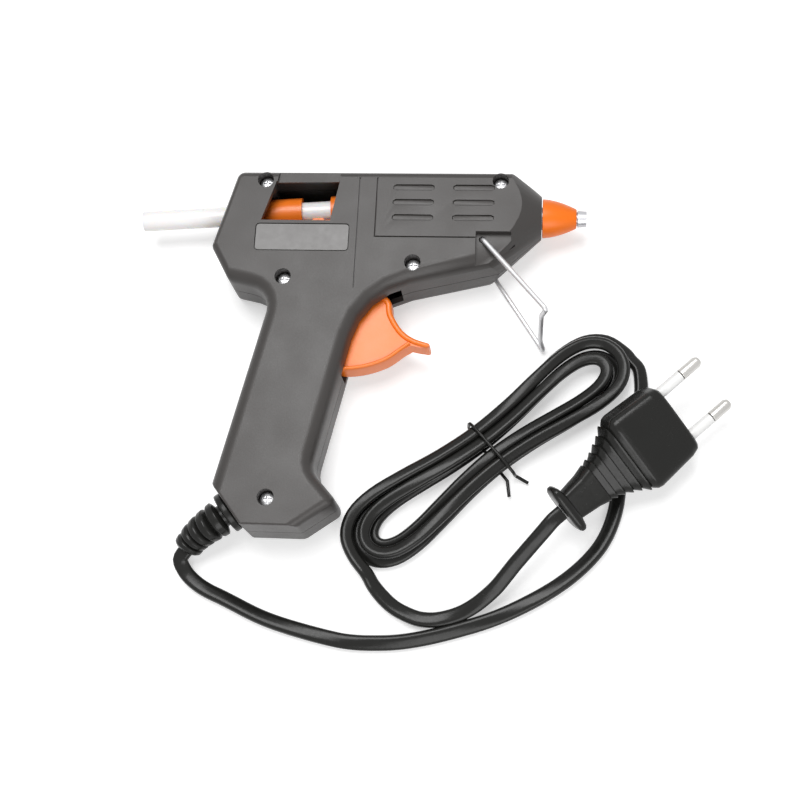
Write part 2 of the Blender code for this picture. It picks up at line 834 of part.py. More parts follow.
def pocket_outline(side):
    """The stand's pocket: small in the right half, open to the underside and nose in the left."""
    x, y = across(STAND_PIVOT_SHARES[0]), up(STAND_PIVOT_SHARES[1])
    margin = STAND_WIRE_RADIUS + POCKET_MARGIN
    near = side > 0
    foot = up(NEAR_POCKET_FOOT_SHARE if near else POCKET_FOOT_SHARE)
    reach = across(NEAR_POCKET_REACH_SHARE if near else POCKET_REACH_SHARE)
    return ((x - margin, foot), (reach, foot), (reach, y + margin), (x - margin, y + margin))


def inner_ribs(side, label):
    """What stands inside each half: bosses, ribs, seats and pads, all joined to its wall."""
    wall = ROOM + CASE_WALL / 2
    ribs = []
    pivot_radius = PIVOT_RADIUS + GAP + PIVOT_BOSS_WALL
    pivot_foot = TRIGGER_THICKNESS / 2 + TRIGGER_SIDE_GAP + GAP
    ribs.append(
        rod(label + " pivot boss", pivot_radius, half(side, 0, 0, pivot_foot), half(side, 0, 0, wall))
    )
    shelf = block(
        label + " shelf",
        (across(SHELF_SHARES[0]), -bar_depth() - GAP - SHELF_THICKNESS, side * GAP / 2),
        (across(SHELF_SHARES[1]), -bar_depth() - GAP, side * wall),
    )
    ribs.append(on_feed(shelf))
    seat_x, seat_y = across(SPRING_SEAT_SHARE), up(SPRING_HEIGHT_SHARE)
    reach = SPRING_RADIUS + SPRING_WIRE_RADIUS + GAP
    ribs.append(
        block(
            label + " spring seat",
            half(side, seat_x, seat_y - reach, GAP / 2),
            half(side, seat_x + SEAT_RIB_THICKNESS, seat_y + reach, wall),
        )
    )
    sleeve_end = inlet_sleeve_end()
    cradle_y = feed_point(sleeve_end).y
    half_height = STICK_RADIUS + STICK_CLEARANCE + SLEEVE_WALL
    ribs.append(
        cut(
            block(
                label + " cradle",
                half(side, sleeve_end - CRADLE_THICKNESS, cradle_y - half_height, GAP / 2),
                half(side, sleeve_end, cradle_y + half_height - GAP, wall),
            ),
            on_feed(
                rod(
                    label + " cradle mouth",
                    STICK_RADIUS + STICK_CLEARANCE + SLEEVE_WALL + GAP,
                    (0.0, 0.0, 0.0),
                    (across(CHAMBER_SHARES[1]), 0.0, 0.0),
                    sides=32,
                )
            ),
        )
    )
    chamber_y = up(CHAMBER_HEIGHT_SHARE)
    ribs.append(
        block(
            label + " chamber pad",
            half(
                side,
                across(CHAMBER_PAD_SHARES[0]),
                chamber_y - CHAMBER_PAD_HEIGHT / 2,
                CHAMBER_RADIUS + GAP,
            ),
            half(side, across(CHAMBER_PAD_SHARES[1]), chamber_y + CHAMBER_PAD_HEIGHT / 2, wall),
        )
    )
    x, y = across(STAND_PIVOT_SHARES[0]), up(STAND_PIVOT_SHARES[1])
    pad_top = HALF_DEPTH - POCKET_DEPTH
    pad = slab(
        label + " stand pad",
        (
            (x - 2 * PAD_THICKNESS, y + 2 * PAD_THICKNESS),
            (x - 2 * PAD_THICKNESS, up(POCKET_FOOT_SHARE)),
            (across(POCKET_REACH_SHARE), up(POCKET_FOOT_SHARE)),
            (across(POCKET_REACH_SHARE), y + 2 * PAD_THICKNESS),
        ),
        MIDDLE + side * (pad_top - PAD_THICKNESS),
        MIDDLE + side * wall,
    )
    keep_in = hide(case_solid(label + " pad limit", side, CASE_WALL / 2, -OVERRUN))
    ribs.append(combine(pad, [keep_in], "INTERSECT"))
    return ribs


def screw_bosses(side, label):
    """Round bosses for the case screws in one half."""
    wall = ROOM + CASE_WALL / 2
    slim = SCREW_SHANK_RADIUS + GAP + BOSS_WALL
    cup = SCREW_HEAD_RADIUS + HEAD_CLEARANCE + CUP_WALL
    bosses = []
    for number, shares in enumerate(SCREW_SHARES, 1):
        x, y = across(shares[0]), up(shares[1])
        foot = half(side, x, y, GAP / 2)
        bosses.append(rod(f"{label} boss {number}", slim, foot, half(side, x, y, wall), sides=12))
        if side > 0:
            seat = half(side, x, y, SCREW_SEAT - SEAT_THICKNESS)
            bosses.append(rod(f"{label} cup {number}", cup, seat, half(side, x, y, wall), sides=16))
    return bosses


def screw_holes(side, label):
    """Clearance holes and recesses in the right half, blind pilot holes in the left."""
    holes = []
    pilot = SCREW_SHANK_RADIUS + GAP
    for number, shares in enumerate(SCREW_SHARES, 1):
        x, y = across(shares[0]), up(shares[1])
        if side > 0:
            ends = half(side, x, y, -OVERRUN), half(side, x, y, HALF_DEPTH)
            holes.append(rod(f"{label} hole {number}", pilot, *ends, sides=10))
            ends = half(side, x, y, SCREW_SEAT), half(side, x, y, HALF_DEPTH + OVERRUN)
            recess = SCREW_HEAD_RADIUS + HEAD_CLEARANCE
            holes.append(rod(f"{label} recess {number}", recess, *ends, sides=16))
        else:
            depth = SCREW_LENGTH - SCREW_SEAT + OVERRUN
            ends = half(side, x, y, -OVERRUN), half(side, x, y, depth)
            holes.append(rod(f"{label} pilot {number}", pilot, *ends, sides=10))
    return holes


def openings(side, label):
    """Cutters for the ways into one half: trigger slot, stick hole, nozzle bore and heel hole."""
    deep = TRIGGER_THICKNESS / 2 + TRIGGER_SIDE_GAP
    slot = block(
        label + " trigger slot",
        half(side, across(SLOT_BACK_SHARE), up(SLOT_FOOT_SHARE), -OVERRUN),
        half(side, across(SLOT_FRONT_SHARE), up(SLOT_TOP_SHARE), deep),
    )
    rear = across(OUTLINE_SHARES[0][0])
    stick_hole = on_feed(
        rod(
            label + " stick hole",
            STICK_RADIUS + REAR_HOLE_CLEARANCE,
            (rear * 2, 0.0, 0.0),
            (rear + CASE_WALL, 0.0, 0.0),
            sides=32,
        )
    )
    nozzle = rod(
        label + " nozzle bore",
        NECK_RADIUS + GAP,
        (nose_x() - BULKHEAD - OVERRUN, nozzle_y(), MIDDLE),
        (nose_x() + OVERRUN, nozzle_y(), MIDDLE),
        sides=32,
    )
    centre, outward = heel()
    cord = rod(
        label + " cord hole",
        RELIEF_NECK_RADIUS + GAP,
        centre - outward * (CASE_WALL + OVERRUN),
        centre + outward * OVERRUN,
        sides=28,
    )
    pin_foot = half(side, 0, 0, TRIGGER_THICKNESS / 2)
    pin = rod(label + " pivot hole", PIVOT_RADIUS + GAP, pin_foot, half(side, 0, 0, PIVOT_DEPTH + GAP))
    pocket = slab(
        label + " stand pocket",
        pocket_outline(side),
        MIDDLE + side * (HALF_DEPTH - POCKET_DEPTH),
        MIDDLE + side * (HALF_DEPTH + OVERRUN),
    )
    x, y = across(STAND_PIVOT_SHARES[0]), up(STAND_PIVOT_SHARES[1])
    stand_pin = rod(
        label + " stand hole",
        STAND_WIRE_RADIUS + GAP,
        half(side, x, y, ROOM - 2 * PAD_THICKNESS),
        half(side, x, y, HALF_DEPTH),
        sides=16,
    )
    return [slot, stick_hole, nozzle, cord, pin, pocket, stand_pin]


def case_half(name, side):
    """One moulded half of the case, with all that belongs to both halves."""
    shell = case_solid(name, side, 0.0, GAP / 2)
    hollow = case_solid(name + " hollow", side, CASE_WALL, -OVERRUN)
    bulkhead = block(
        name + " bulkhead",
        (nose_x() - BULKHEAD, -CASE_HEIGHT, MIDDLE - CASE_THICKNESS),
        (nose_x() + CASE_LENGTH, CASE_HEIGHT, MIDDLE + CASE_THICKNESS),
    )
    cut(shell, cut(hollow, bulkhead))
    join(shell, *inner_ribs(side, name), *screw_bosses(side, name))
    cut(shell, *screw_holes(side, name), *openings(side, name), *face_marks(side, name))
    return shell


def make_left_shell():
    """The half that lies on the table; it carries the cord clamp's posts and saddle."""
    shell = case_half("left_shell", -1)
    x, y = across(CLAMP_SHARES[0]), up(CLAMP_SHARES[1])
    wall = ROOM + CASE_WALL / 2
    top = -CORD_RADIUS
    posts, pilots = [], []
    for way in (-1, 1):
        place = x + way * CLAMP_SPAN / 2
        posts.append(
            rod(f"clamp post {way}", POST_RADIUS, half(-1, place, y, top), half(-1, place, y, wall))
        )
        pilot_foot = half(-1, place, y, CLAMP_SCREW_LENGTH)
        pilots.append(
            rod(f"clamp pilot {way}", SCREW_SHANK_RADIUS + GAP, half(-1, place, y, top - OVERRUN), pilot_foot)
        )
    saddle = block(
        "cord saddle",
        half(-1, x - CORD_RADIUS, y - CLAMP_WIDTH / 2, CORD_RADIUS + GAP),
        half(-1, x + CORD_RADIUS, y + CLAMP_WIDTH / 2, wall),
    )
    join(shell, *posts, saddle)
    cut(shell, *pilots, nose_taper(-1, "left"))
    return finish(shell, "left_shell", BLACK)


def make_right_shell():
    """The half with the screws' recesses, the window and the label's place."""
    shell = case_half("right_shell", 1)
    outline = [spot(shares) for shares in WINDOW_SHARES]
    above = MIDDLE + HALF_DEPTH + OVERRUN
    window = slab("window", outline, MIDDLE + ROOM - OVERRUN, above)
    lean = (outline[2] - outline[1]) / 3
    edge = Vector((GAP, 0.0, 0.0))
    left, right = outline[3] + edge, outline[2] - edge
    raised = [left - lean, right - lean, right + lean, left + lean]
    lip = slab("window lip", raised, MIDDLE + HALF_DEPTH - WINDOW_LIP_DEPTH, above)
    place_floor = MIDDLE + HALF_DEPTH - LABEL_DEPTH
    label = slab("label place", label_outline(0.0), place_floor, above)
    cut(shell, window, lip, label, nose_taper(1, "right"))
    return finish(shell, "right_shell", BLACK)


def make_label():
    """The blank rating plate in its place."""
    floor = MIDDLE + HALF_DEPTH - LABEL_DEPTH + GAP
    plate = slab("rating_label", label_outline(GAP), floor, floor + LABEL_THICKNESS)
    return finish(plate, "rating_label", GREY_LABEL)


def make_screw(name, place, length):
    """A domed cross-head screw, its head's seat at the place."""
    head, shank = SCREW_HEAD_RADIUS, SCREW_SHANK_RADIUS
    profile = [(0.0, SCREW_HEAD_HEIGHT)]
    for angle in (30, 55, 75):
        turn = math.radians(angle)
        profile.append((head * math.sin(turn), SCREW_HEAD_HEIGHT * (0.4 + 0.6 * math.cos(turn))))
    profile += [
        (head, SCREW_HEAD_HEIGHT / 3),
        (head, 0.0),
        (shank, 0.0),
        (shank, -length + shank),
        (0.0, -length),
    ]
    screw = turned(name, profile, place, (0, 0, 1), sides=12)
    arms = []
    for span in ((CROSS_LENGTH, CROSS_WIDTH), (CROSS_WIDTH, CROSS_LENGTH)):
        reach = Vector((span[0] / 2, span[1] / 2, 0.0))
        top = Vector((0.0, 0.0, SCREW_HEAD_HEIGHT + OVERRUN))
        floor = Vector((0.0, 0.0, SCREW_HEAD_HEIGHT - CROSS_DEPTH))
        arms.append(block(name + " cross", place - reach + floor, place + reach + top))
    cut(screw, *arms)
    return finish(screw, name, STEEL)


def make_case_screws():
    """The five screws that hold the case together."""
    for number, shares in enumerate(SCREW_SHARES, 1):
        place = spot(shares, MIDDLE + SCREW_SEAT + GAP)
        make_screw(f"case_screw_{number}", place, SCREW_LENGTH)


def make_trigger():
    """The trigger: web, front band, hub and arm, on its pivot at the origin."""
    front = smooth_route([spot(shares) for shares in TRIGGER_FRONT_SHARES], TRIGGER_PITCH)
    lip = [spot(shares) for shares in TRIGGER_LIP_SHARES]
    arc = smooth_route([spot(shares) for shares in TRIGGER_ARC_SHARES], TRIGGER_PITCH)
    top = Vector((0.0, HUB_RADIUS * 0.9, 0.0))
    back = Vector((-HUB_RADIUS * 0.9, 0.0, 0.0))
    shoulder = Vector((front[0].x - TRIGGER_BAND, up(TRIGGER_TOP_SHARE), 0.0))
    web_half = TRIGGER_THICKNESS / 2 - TRIGGER_RECESS
    outline = [back] + arc[::-1] + lip[::-1] + front[::-1] + [shoulder, top]
    trigger = slab("trigger", outline, MIDDLE - web_half, MIDDLE + web_half)
    inner = []
    for index, point in enumerate(front):
        before = front[max(index - 1, 0)]
        after = front[min(index + 1, len(front) - 1)]
        along = (after - before).normalized()
        inner.append(point + Vector((along.y, -along.x, 0.0)) * TRIGGER_BAND)
    inner = [point for point in inner if point.y > lip[-1].y]
    half_thickness = TRIGGER_THICKNESS / 2
    low, high = MIDDLE - half_thickness, MIDDLE + half_thickness
    band = slab("trigger band", lip[:-1][::-1] + front[::-1] + inner + lip[-1:], low, high)
    hub = rod("trigger hub", HUB_RADIUS, (0, 0, low), (0, 0, high), sides=32)
    tip = spot(ARM_SHARES)
    w = ARM_HALF_WIDTH
    arm_low, arm_high = MIDDLE - ARM_HALF_THICKNESS, MIDDLE + ARM_HALF_THICKNESS
    arm_outline = [(-w, 0.0), (w, 0.0), (tip.x + w, tip.y), (tip.x - w, tip.y)]
    arm = slab("trigger arm", arm_outline, arm_low, arm_high)
    nose = rod(
        "trigger arm tip",
        ARM_TIP_RADIUS,
        tip + Vector((0, 0, arm_low)),
        tip + Vector((0, 0, arm_high)),
    )
    join(trigger, band, hub, arm, nose)
    hole = rod(
        "trigger hole",
        PIVOT_RADIUS + GAP,
        (0, 0, low - OVERRUN),
        (0, 0, high + OVERRUN),
    )
    cut(trigger, hole)
    set_pivot(trigger, (0.0, 0.0, MIDDLE))
    finish(trigger, "trigger", ORANGE)
    pin = rod(
        "trigger_pivot_pin", PIVOT_RADIUS, (0, 0, MIDDLE - PIVOT_DEPTH), (0, 0, MIDDLE + PIVOT_DEPTH)
    )
    return finish(pin, "trigger_pivot_pin", STEEL)


def make_return_spring():
    """The coil spring that pushes the trigger's arm back."""
    y = up(SPRING_HEIGHT_SHARE)
    lean = ARM_SHARES[0] * CASE_LENGTH * y / up(ARM_SHARES[1])
    start = lean + ARM_HALF_WIDTH + GAP + SPRING_WIRE_RADIUS * 2
    end = across(SPRING_SEAT_SHARE) - GAP - SPRING_WIRE_RADIUS * 2
    count = SPRING_TURNS * SPRING_POINTS
    points = []
    for step in range(count + 1):
        angle = 2 * math.pi * step / SPRING_POINTS
        points.append(
            (
                start + (end - start) * step / count,
                y + SPRING_RADIUS * math.cos(angle),
                MIDDLE + SPRING_RADIUS * math.sin(angle),
            )
        )
    return finish(tube("return_spring", points, SPRING_WIRE_RADIUS, 1), "return_spring", STEEL)


def make_carriage():
    """The carriage that takes the stick forward, with its gripping jaw and the jaw's pin."""
    outer, inner = collar_radius(), STICK_RADIUS + STICK_CLEARANCE
    bar_top, foot = outer - BAR_OVERLAP, bar_depth()
    tip = feed_matrix().inverted() @ spot(ARM_SHARES, MIDDLE)
    lug_start = tip.x + ARM_TIP_RADIUS + GAP
    lug_end, lug_foot = lug_start + LUG_THICKNESS, tip.y - LUG_REACH
    bar_start = across(BAR_START_SHARE) + GAP
    jaw_x, jaw_depth = across(JAW_SHARE), bar_top + JAW_HUB_RADIUS / 2
    sleeve_room = inner + SLEEVE_WALL + GAP
    clip_room = sleeve_room + 2 * CLIP_RADIUS + GAP
    neck_x = inlet_sleeve_end() - SLEEVE_LENGTH - FEED_TRAVEL - GAP
    step_x = clip_place() - CLIP_RADIUS - FEED_TRAVEL - GAP
    side_view = (
        (bar_start, -foot),
        (lug_start, -foot),
        (lug_start, lug_foot),
        (lug_end, lug_foot),
        (lug_end, -clip_room),
        (step_x, -clip_room),
        (step_x, -sleeve_room),
        (neck_x, -sleeve_room),
        (neck_x, -bar_top),
        (jaw_x + EAR_HALF_LENGTH, -bar_top),
        (jaw_x + EAR_HALF_LENGTH, -bar_top + EAR_RISE),
        (jaw_x - EAR_HALF_LENGTH, -bar_top + EAR_RISE),
        (jaw_x - EAR_HALF_LENGTH, -bar_top),
        (bar_start, -bar_top),
    )
    body = on_feed(slab("feed_carriage", side_view, -BAR_HALF_WIDTH, BAR_HALF_WIDTH))
    collars = []
    for name, (first, last) in (("rear", REAR_COLLAR_SHARES), ("front", FRONT_COLLAR_SHARES)):
        ends = (across(first), 0.0, 0.0), (across(last), 0.0, 0.0)
        collars.append(on_feed(rod(name + " collar", outer, *ends, sides=28)))
    bore_ends = (bar_start - OVERRUN, 0.0, 0.0), (lug_end + OVERRUN, 0.0, 0.0)
    bore = on_feed(rod("carriage bore", inner, *bore_ends, sides=28))
    join(body, *collars)
    room = JAW_HALF_WIDTH + GAP
    well = on_feed(
        block(
            "jaw well",
            (jaw_x - 2 * EAR_HALF_LENGTH, -foot - OVERRUN, -room),
            (jaw_x + 2 * EAR_HALF_LENGTH, 0.0, room),
        )
    )
    pin_room = JAW_PIN_RADIUS + JAW_PIN_CLEARANCE
    hole = on_feed(
        rod(
            "jaw pin hole",
            pin_room,
            (jaw_x, -jaw_depth, -BAR_HALF_WIDTH - OVERRUN),
            (jaw_x, -jaw_depth, BAR_HALF_WIDTH + OVERRUN),
            sides=16,
        )
    )
    cut(body, bore, well, hole)
    finish(body, "feed_carriage", ORANGE)
    pin = on_feed(
        rod(
            "gripper_pin",
            JAW_PIN_RADIUS,
            (jaw_x, -jaw_depth, -BAR_HALF_WIDTH),
            (jaw_x, -jaw_depth, BAR_HALF_WIDTH),
            sides=16,
        )
    )
    finish(pin, "gripper_pin", STEEL)
    hub = on_feed(
        rod(
            "stick_gripper",
            JAW_HUB_RADIUS,
            (jaw_x, -jaw_depth, -JAW_HALF_WIDTH),
            (jaw_x, -jaw_depth, JAW_HALF_WIDTH),
            sides=20,
        )
    )
    reach = jaw_depth - STICK_RADIUS - GAP
    tooth_outline = [
        (jaw_x + JAW_HUB_RADIUS / 2, -jaw_depth),
        (jaw_x - JAW_HUB_RADIUS / 2, -jaw_depth + reach * 0.9),
        (jaw_x - JAW_HUB_RADIUS * 1.3, -jaw_depth + reach * 0.98),
        (jaw_x - JAW_HUB_RADIUS * 0.7, -jaw_depth),
    ]
    tooth = on_feed(slab("tooth", tooth_outline, -JAW_HALF_WIDTH, JAW_HALF_WIDTH))
    join(hub, tooth)
    cut(
        hub,
        on_feed(
            rod(
                "gripper hole",
                pin_room,
                (jaw_x, -jaw_depth, -JAW_HALF_WIDTH - OVERRUN),
                (jaw_x, -jaw_depth, JAW_HALF_WIDTH + OVERRUN),
                sides=16,
            )
        ),
    )
    set_pivot(hub, feed_point(jaw_x, jaw_depth))
    return finish(hub, "stick_gripper", STEEL)


def make_stick():
    """The loaded glue stick, from behind the gun into the melt chamber."""
    stick = rod(
        "glue_stick",
        STICK_RADIUS,
        (across(STICK_START_SHARE), 0.0, 0.0),
        (across(STICK_END_SHARE), 0.0, 0.0),
        sides=28,
    )
    return finish(on_feed(stick), "glue_stick", GLUE)


def stack_half_thickness():
    """Half the room that the heating stack takes in its block."""
    layers = HEATER_THICKNESS / 2 + GAP + ELECTRODE_THICKNESS + GAP + INSULATION_THICKNESS
    return layers + GAP


def make_melt_chamber():
    """The cast chamber that melts the stick, with its neck and the heater's block."""
    x0, x1 = (across(share) for share in CHAMBER_SHARES)
    y = up(CHAMBER_HEIGHT_SHARE)
    chamber = rod("melt_chamber", CHAMBER_RADIUS, (x0, y, MIDDLE), (x1, y, MIDDLE), sides=40)
    neck_end = nose_x() - BULKHEAD + NECK_SEAT
    neck = rod(
        "neck",
        NECK_RADIUS,
        (x1 - OVERRUN, nozzle_y(), MIDDLE),
        (neck_end, nozzle_y(), MIDDLE),
        sides=28,
    )
    width = stack_half_thickness() + BLOCK_WALL
    casting = block(
        "heater block",
        (across(BLOCK_SHARES[0]), up(BLOCK_FOOT_SHARE), MIDDLE - width),
        (across(BLOCK_SHARES[1]), y, MIDDLE + width),
    )
    join(chamber, neck, casting)
    inlet = on_feed(
        rod(
            "inlet",
            STICK_RADIUS + INLET_WALL,
            (0.0, 0.0, 0.0),
            (across(INLET_END_SHARE), 0.0, 0.0),
            sides=28,
        )
    )
    melt_y = (nozzle_y() + y) / 2
    melt = rod(
        "melt bore",
        MELT_BORE_RADIUS,
        (across(INLET_END_SHARE) - 2 * OVERRUN, melt_y, MIDDLE),
        (x1 + OVERRUN, melt_y, MIDDLE),
        sides=16,
    )
    neck_bore = rod(
        "neck bore",
        NECK_RADIUS - NECK_WALL,
        (x1, nozzle_y(), MIDDLE),
        (neck_end + OVERRUN, nozzle_y(), MIDDLE),
        sides=24,
    )
    room = stack_half_thickness()
    pocket = block(
        "stack pocket",
        (across(BLOCK_SHARES[0]) - OVERRUN, up(HEATER_LOW_SHARE) - GAP, MIDDLE - room),
        (across(BLOCK_SHARES[1]) + OVERRUN, up(HEATER_HIGH_SHARE) + GAP, MIDDLE + room),
    )
    cut(chamber, inlet, melt, neck_bore, pocket)
    return finish(chamber, "melt_chamber", ALUMINIUM)


def make_heating_stack():
    """The heating tile between its electrodes and insulation."""
    x0, x1 = (across(share) for share in HEATER_SHARES)
    y0, y1 = up(HEATER_LOW_SHARE), up(HEATER_HIGH_SHARE)
    h = HEATER_THICKNESS / 2
    finish(block("ptc_heater", (x0, y0, MIDDLE - h), (x1, y1, MIDDLE + h)), "ptc_heater", CERAMIC)
    tab_y = (y0 + y1) / 2
    for side, name in ((1, "live"), (-1, "neutral")):
        near = MIDDLE + side * (h + GAP)
        far = near + side * ELECTRODE_THICKNESS
        end = x1 + ELECTRODE_MARGIN
        plate = block(f"electrode_{name}", (x0 - ELECTRODE_MARGIN, y0, near), (end, y1, far))
        tab = block(
            f"{name} tab",
            (x1, tab_y - TAB_HALF_HEIGHT, near),
            (end + TAB_LENGTH, tab_y + TAB_HALF_HEIGHT, far),
        )
        finish(join(plate, tab), f"electrode_{name}", BRASS)
        near = far + side * GAP
        far = near + side * INSULATION_THICKNESS
        film = block(
            f"insulation_{name}",
            (x0 - INSULATION_MARGIN, y0, near),
            (x1 + INSULATION_MARGIN, y1, far),
        )
        finish(film, f"insulation_{name}", AMBER)


def tab_end(side):
    """The end of an electrode's tab, at the middle of its height and thickness."""
    x = across(HEATER_SHARES[1]) + ELECTRODE_MARGIN + TAB_LENGTH
    y = (up(HEATER_LOW_SHARE) + up(HEATER_HIGH_SHARE)) / 2
    z = MIDDLE + side * (HEATER_THICKNESS / 2 + GAP + ELECTRODE_THICKNESS / 2)
    return Vector((x, y, z))


def make_inlet_sleeve():
    """The heat-proof sleeve that leads the stick into the chamber, and its spring clip."""
    inner = STICK_RADIUS + STICK_CLEARANCE
    end = inlet_sleeve_end()
    profile = [
        (inner, SLEEVE_LENGTH),
        (inner + SLEEVE_WALL, SLEEVE_LENGTH),
        (inner + SLEEVE_WALL, 0.0),
        (inner, 0.0),
    ]
    axis = feed_matrix().to_3x3() @ Vector((1.0, 0.0, 0.0))
    sleeve = turned(
        "inlet_sleeve", profile, feed_point(end - SLEEVE_LENGTH), axis, sides=32, hollow=True
    )
    finish(sleeve, "inlet_sleeve", SILICONE_WHITE)
    radius = inner + SLEEVE_WALL + GAP + CLIP_RADIUS
    place = clip_place()
    points = []
    for step in range(CLIP_POINTS + 1):
        angle = CLIP_MOUTH / 2 + (2 * math.pi - CLIP_MOUTH) * step / CLIP_POINTS
        side = Vector((0.0, -radius * math.cos(angle), radius * math.sin(angle)))
        points.append(feed_matrix() @ (Vector((place, 0.0, 0.0)) + side))
    return finish(tube("sleeve_clip", points, CLIP_RADIUS, 1), "sleeve_clip", STEEL)


def make_nozzle():
    """The nozzle tip, screwed into the neck, and the orange sleeve over it."""
    neck_end = nose_x() - BULKHEAD + NECK_SEAT
    start = neck_end - TIP_THREAD_LENGTH
    face = nose_x() - start
    sleeve_end = face + GAP + NOZZLE_SLEEVE_LENGTH
    body = neck_end + GAP - start
    profile = [
        (TIP_MOUTH_RADIUS, sleeve_end + GAP + TIP_END_LENGTH),
        (TIP_END_RADIUS * 0.92, sleeve_end + GAP + TIP_END_LENGTH),
        (TIP_END_RADIUS, sleeve_end + GAP),
        (TIP_CORE_RADIUS, sleeve_end + GAP),
        (TIP_CORE_RADIUS, face + TIP_BODY_LENGTH),
        (TIP_BODY_RADIUS, face + TIP_BODY_LENGTH),
        (TIP_BODY_RADIUS, body),
        (TIP_THREAD_RADIUS, body),
        (TIP_THREAD_RADIUS, 0.0),
        (TIP_BORE_RADIUS, 0.0),
        (TIP_BORE_RADIUS, sleeve_end),
    ]
    tip = turned(
        "nozzle_tip", profile, (start, nozzle_y(), MIDDLE), (1, 0, 0), sides=20, hollow=True
    )
    finish(tip, "nozzle_tip", ALUMINIUM)
    length = NOZZLE_SLEEVE_LENGTH
    bore = TIP_CORE_RADIUS + GAP
    step_height = TIP_BODY_LENGTH
    outer = []
    for step in range(NOZZLE_SLEEVE_STEPS + 1):
        share = step / NOZZLE_SLEEVE_STEPS
        fall = share**1.7
        radius = NOZZLE_SLEEVE_RADIUS + (NOZZLE_SLEEVE_END_RADIUS - NOZZLE_SLEEVE_RADIUS) * fall
        outer.append((radius, length * share))
    wide = TIP_BODY_RADIUS + GAP
    sleeve_profile = [(bore, length)] + outer[::-1] + [(wide, 0.0), (wide, step_height), (bore, step_height)]
    sleeve = turned(
        "nozzle_sleeve",
        sleeve_profile,
        (nose_x() + GAP, nozzle_y(), MIDDLE),
        (1, 0, 0),
        sides=28,
        hollow=True,
    )
    return finish(sleeve, "nozzle_sleeve", ORANGE)


def stand_points():
    """The wire stand's bends, from the pin in the right half to the pin in the left."""
    pivot = spot(STAND_PIVOT_SHARES)
    near_level = MIDDLE + HALF_DEPTH - POCKET_DEPTH + GAP + STAND_WIRE_RADIUS
    far_level = STAND_FOOT
    near_way = Vector((math.cos(STAND_REST_ANGLE), math.sin(STAND_REST_ANGLE), 0.0))
    far_way = Vector((math.cos(STAND_FAR_ANGLE), math.sin(STAND_FAR_ANGLE), 0.0))
    lift = Vector((0.0, 0.0, 1.0))
    near_corner = pivot + near_way * STAND_NEAR_LEG + lift * (near_level + STAND_NEAR_RISE)
    far_corner = pivot + far_way * STAND_FAR_LEG + lift * far_level
    cross = far_corner - near_corner
    kink = -near_way * STAND_KINK_DEPTH
    return [
        pivot + lift * (near_level - STAND_PIN_LENGTH),
        pivot + lift * near_level,
        near_corner,
        near_corner + cross * 0.26 + kink,
        near_corner + cross * 0.86 + kink,
        far_corner,
        pivot + lift * far_level,
        pivot + lift * (far_level + STAND_PIN_LENGTH),
    ]


def rounded_bends(points, radius, steps):
    """The points with each bend replaced by a short curve."""
    result = [points[0]]
    for before, corner, after in zip(points, points[1:], points[2:]):
        start = corner + (before - corner).normalized() * radius
        end = corner + (after - corner).normalized() * radius
        for step in range(steps + 1):
            t = step / steps
            result.append(start.lerp(corner, t).lerp(corner.lerp(end, t), t))
    result.append(points[-1])
    return result


def make_stand():
    """The wire stand, hinged on the line of its two pins."""
    points = rounded_bends(stand_points(), STAND_BEND, 4)
    pivot = spot(STAND_PIVOT_SHARES)
    return finish(
        tube("stand_wire", points, STAND_WIRE_RADIUS, 2, pivot=pivot), "stand_wire", STEEL
    )


def make_wiring():
    """The two inner wires and the terminals that hold them to the electrodes."""
    for side, name, look in ((1, "live", BROWN), (-1, "neutral", BLUE)):
        tab = tab_end(side)
        crimp_half = TAB_HALF_HEIGHT + GAP + CRIMP_WALL
        depth = ELECTRODE_THICKNESS / 2 + GAP
        outward = side * (depth + CRIMP_WALL)
        start = tab.x - CRIMP_LENGTH / 2
        crimp = block(
            f"{name}_wire_terminal",
            (start, tab.y - crimp_half, tab.z - side * depth * 0.8),
            (start + CRIMP_LENGTH, tab.y + crimp_half, tab.z + outward * 2.2),
        )
        slot = block(
            f"{name} terminal slot",
            (start - OVERRUN, tab.y - TAB_HALF_HEIGHT - GAP, tab.z - side * OVERRUN),
            (tab.x + GAP, tab.y + TAB_HALF_HEIGHT + GAP, tab.z + side * depth),
        )
        cut(crimp, slot)
        finish(crimp, f"{name}_wire_terminal", STEEL)
        lift = WIRE_SPACING * (side + 1) / 2
        first = Vector((start + CRIMP_LENGTH + GAP, tab.y, tab.z + outward))
        places = [spot(shares, shares[2] * CASE_THICKNESS + lift) for shares in WIRE_SHARES]
        along = Vector((1.0, 0.0, 0.0))
        away = (places[-1] - places[-2]).normalized()
        points = ended_route(first, along, places[:-1], places[-1], away, WIRE_RADIUS, WIRE_PITCH)
        wire = tube(f"{name}_wire", points, WIRE_RADIUS, 1)
        finish(wire, f"{name}_wire", look)


def relief_spine():
    """The strain relief's axis: points and their distance from the heel's face."""
    centre, outward = heel()
    inner = CASE_WALL + GAP + RELIEF_INNER_FLANGE
    last = centre + outward * RELIEF_STRAIGHT
    spine = [(-inner, centre - outward * inner), (RELIEF_STRAIGHT, last)]
    travelled = RELIEF_STRAIGHT
    first_handle = last + outward * RELIEF_POLE
    last_handle = RELIEF_END - RELIEF_END_WAY * RELIEF_POLE
    for place in interpolate_bezier(last, first_handle, last_handle, RELIEF_END, 24)[1:]:
        travelled += (place - last).length
        last = place
        spine.append((travelled, place))
    return spine


def on_spine(spine, distance):
    """The point at a distance along the spine."""
    for (d0, a), (d1, b) in zip(spine, spine[1:]):
        if distance <= d1:
            return a.lerp(b, (distance - d0) / (d1 - d0))
    return spine[-1][1]


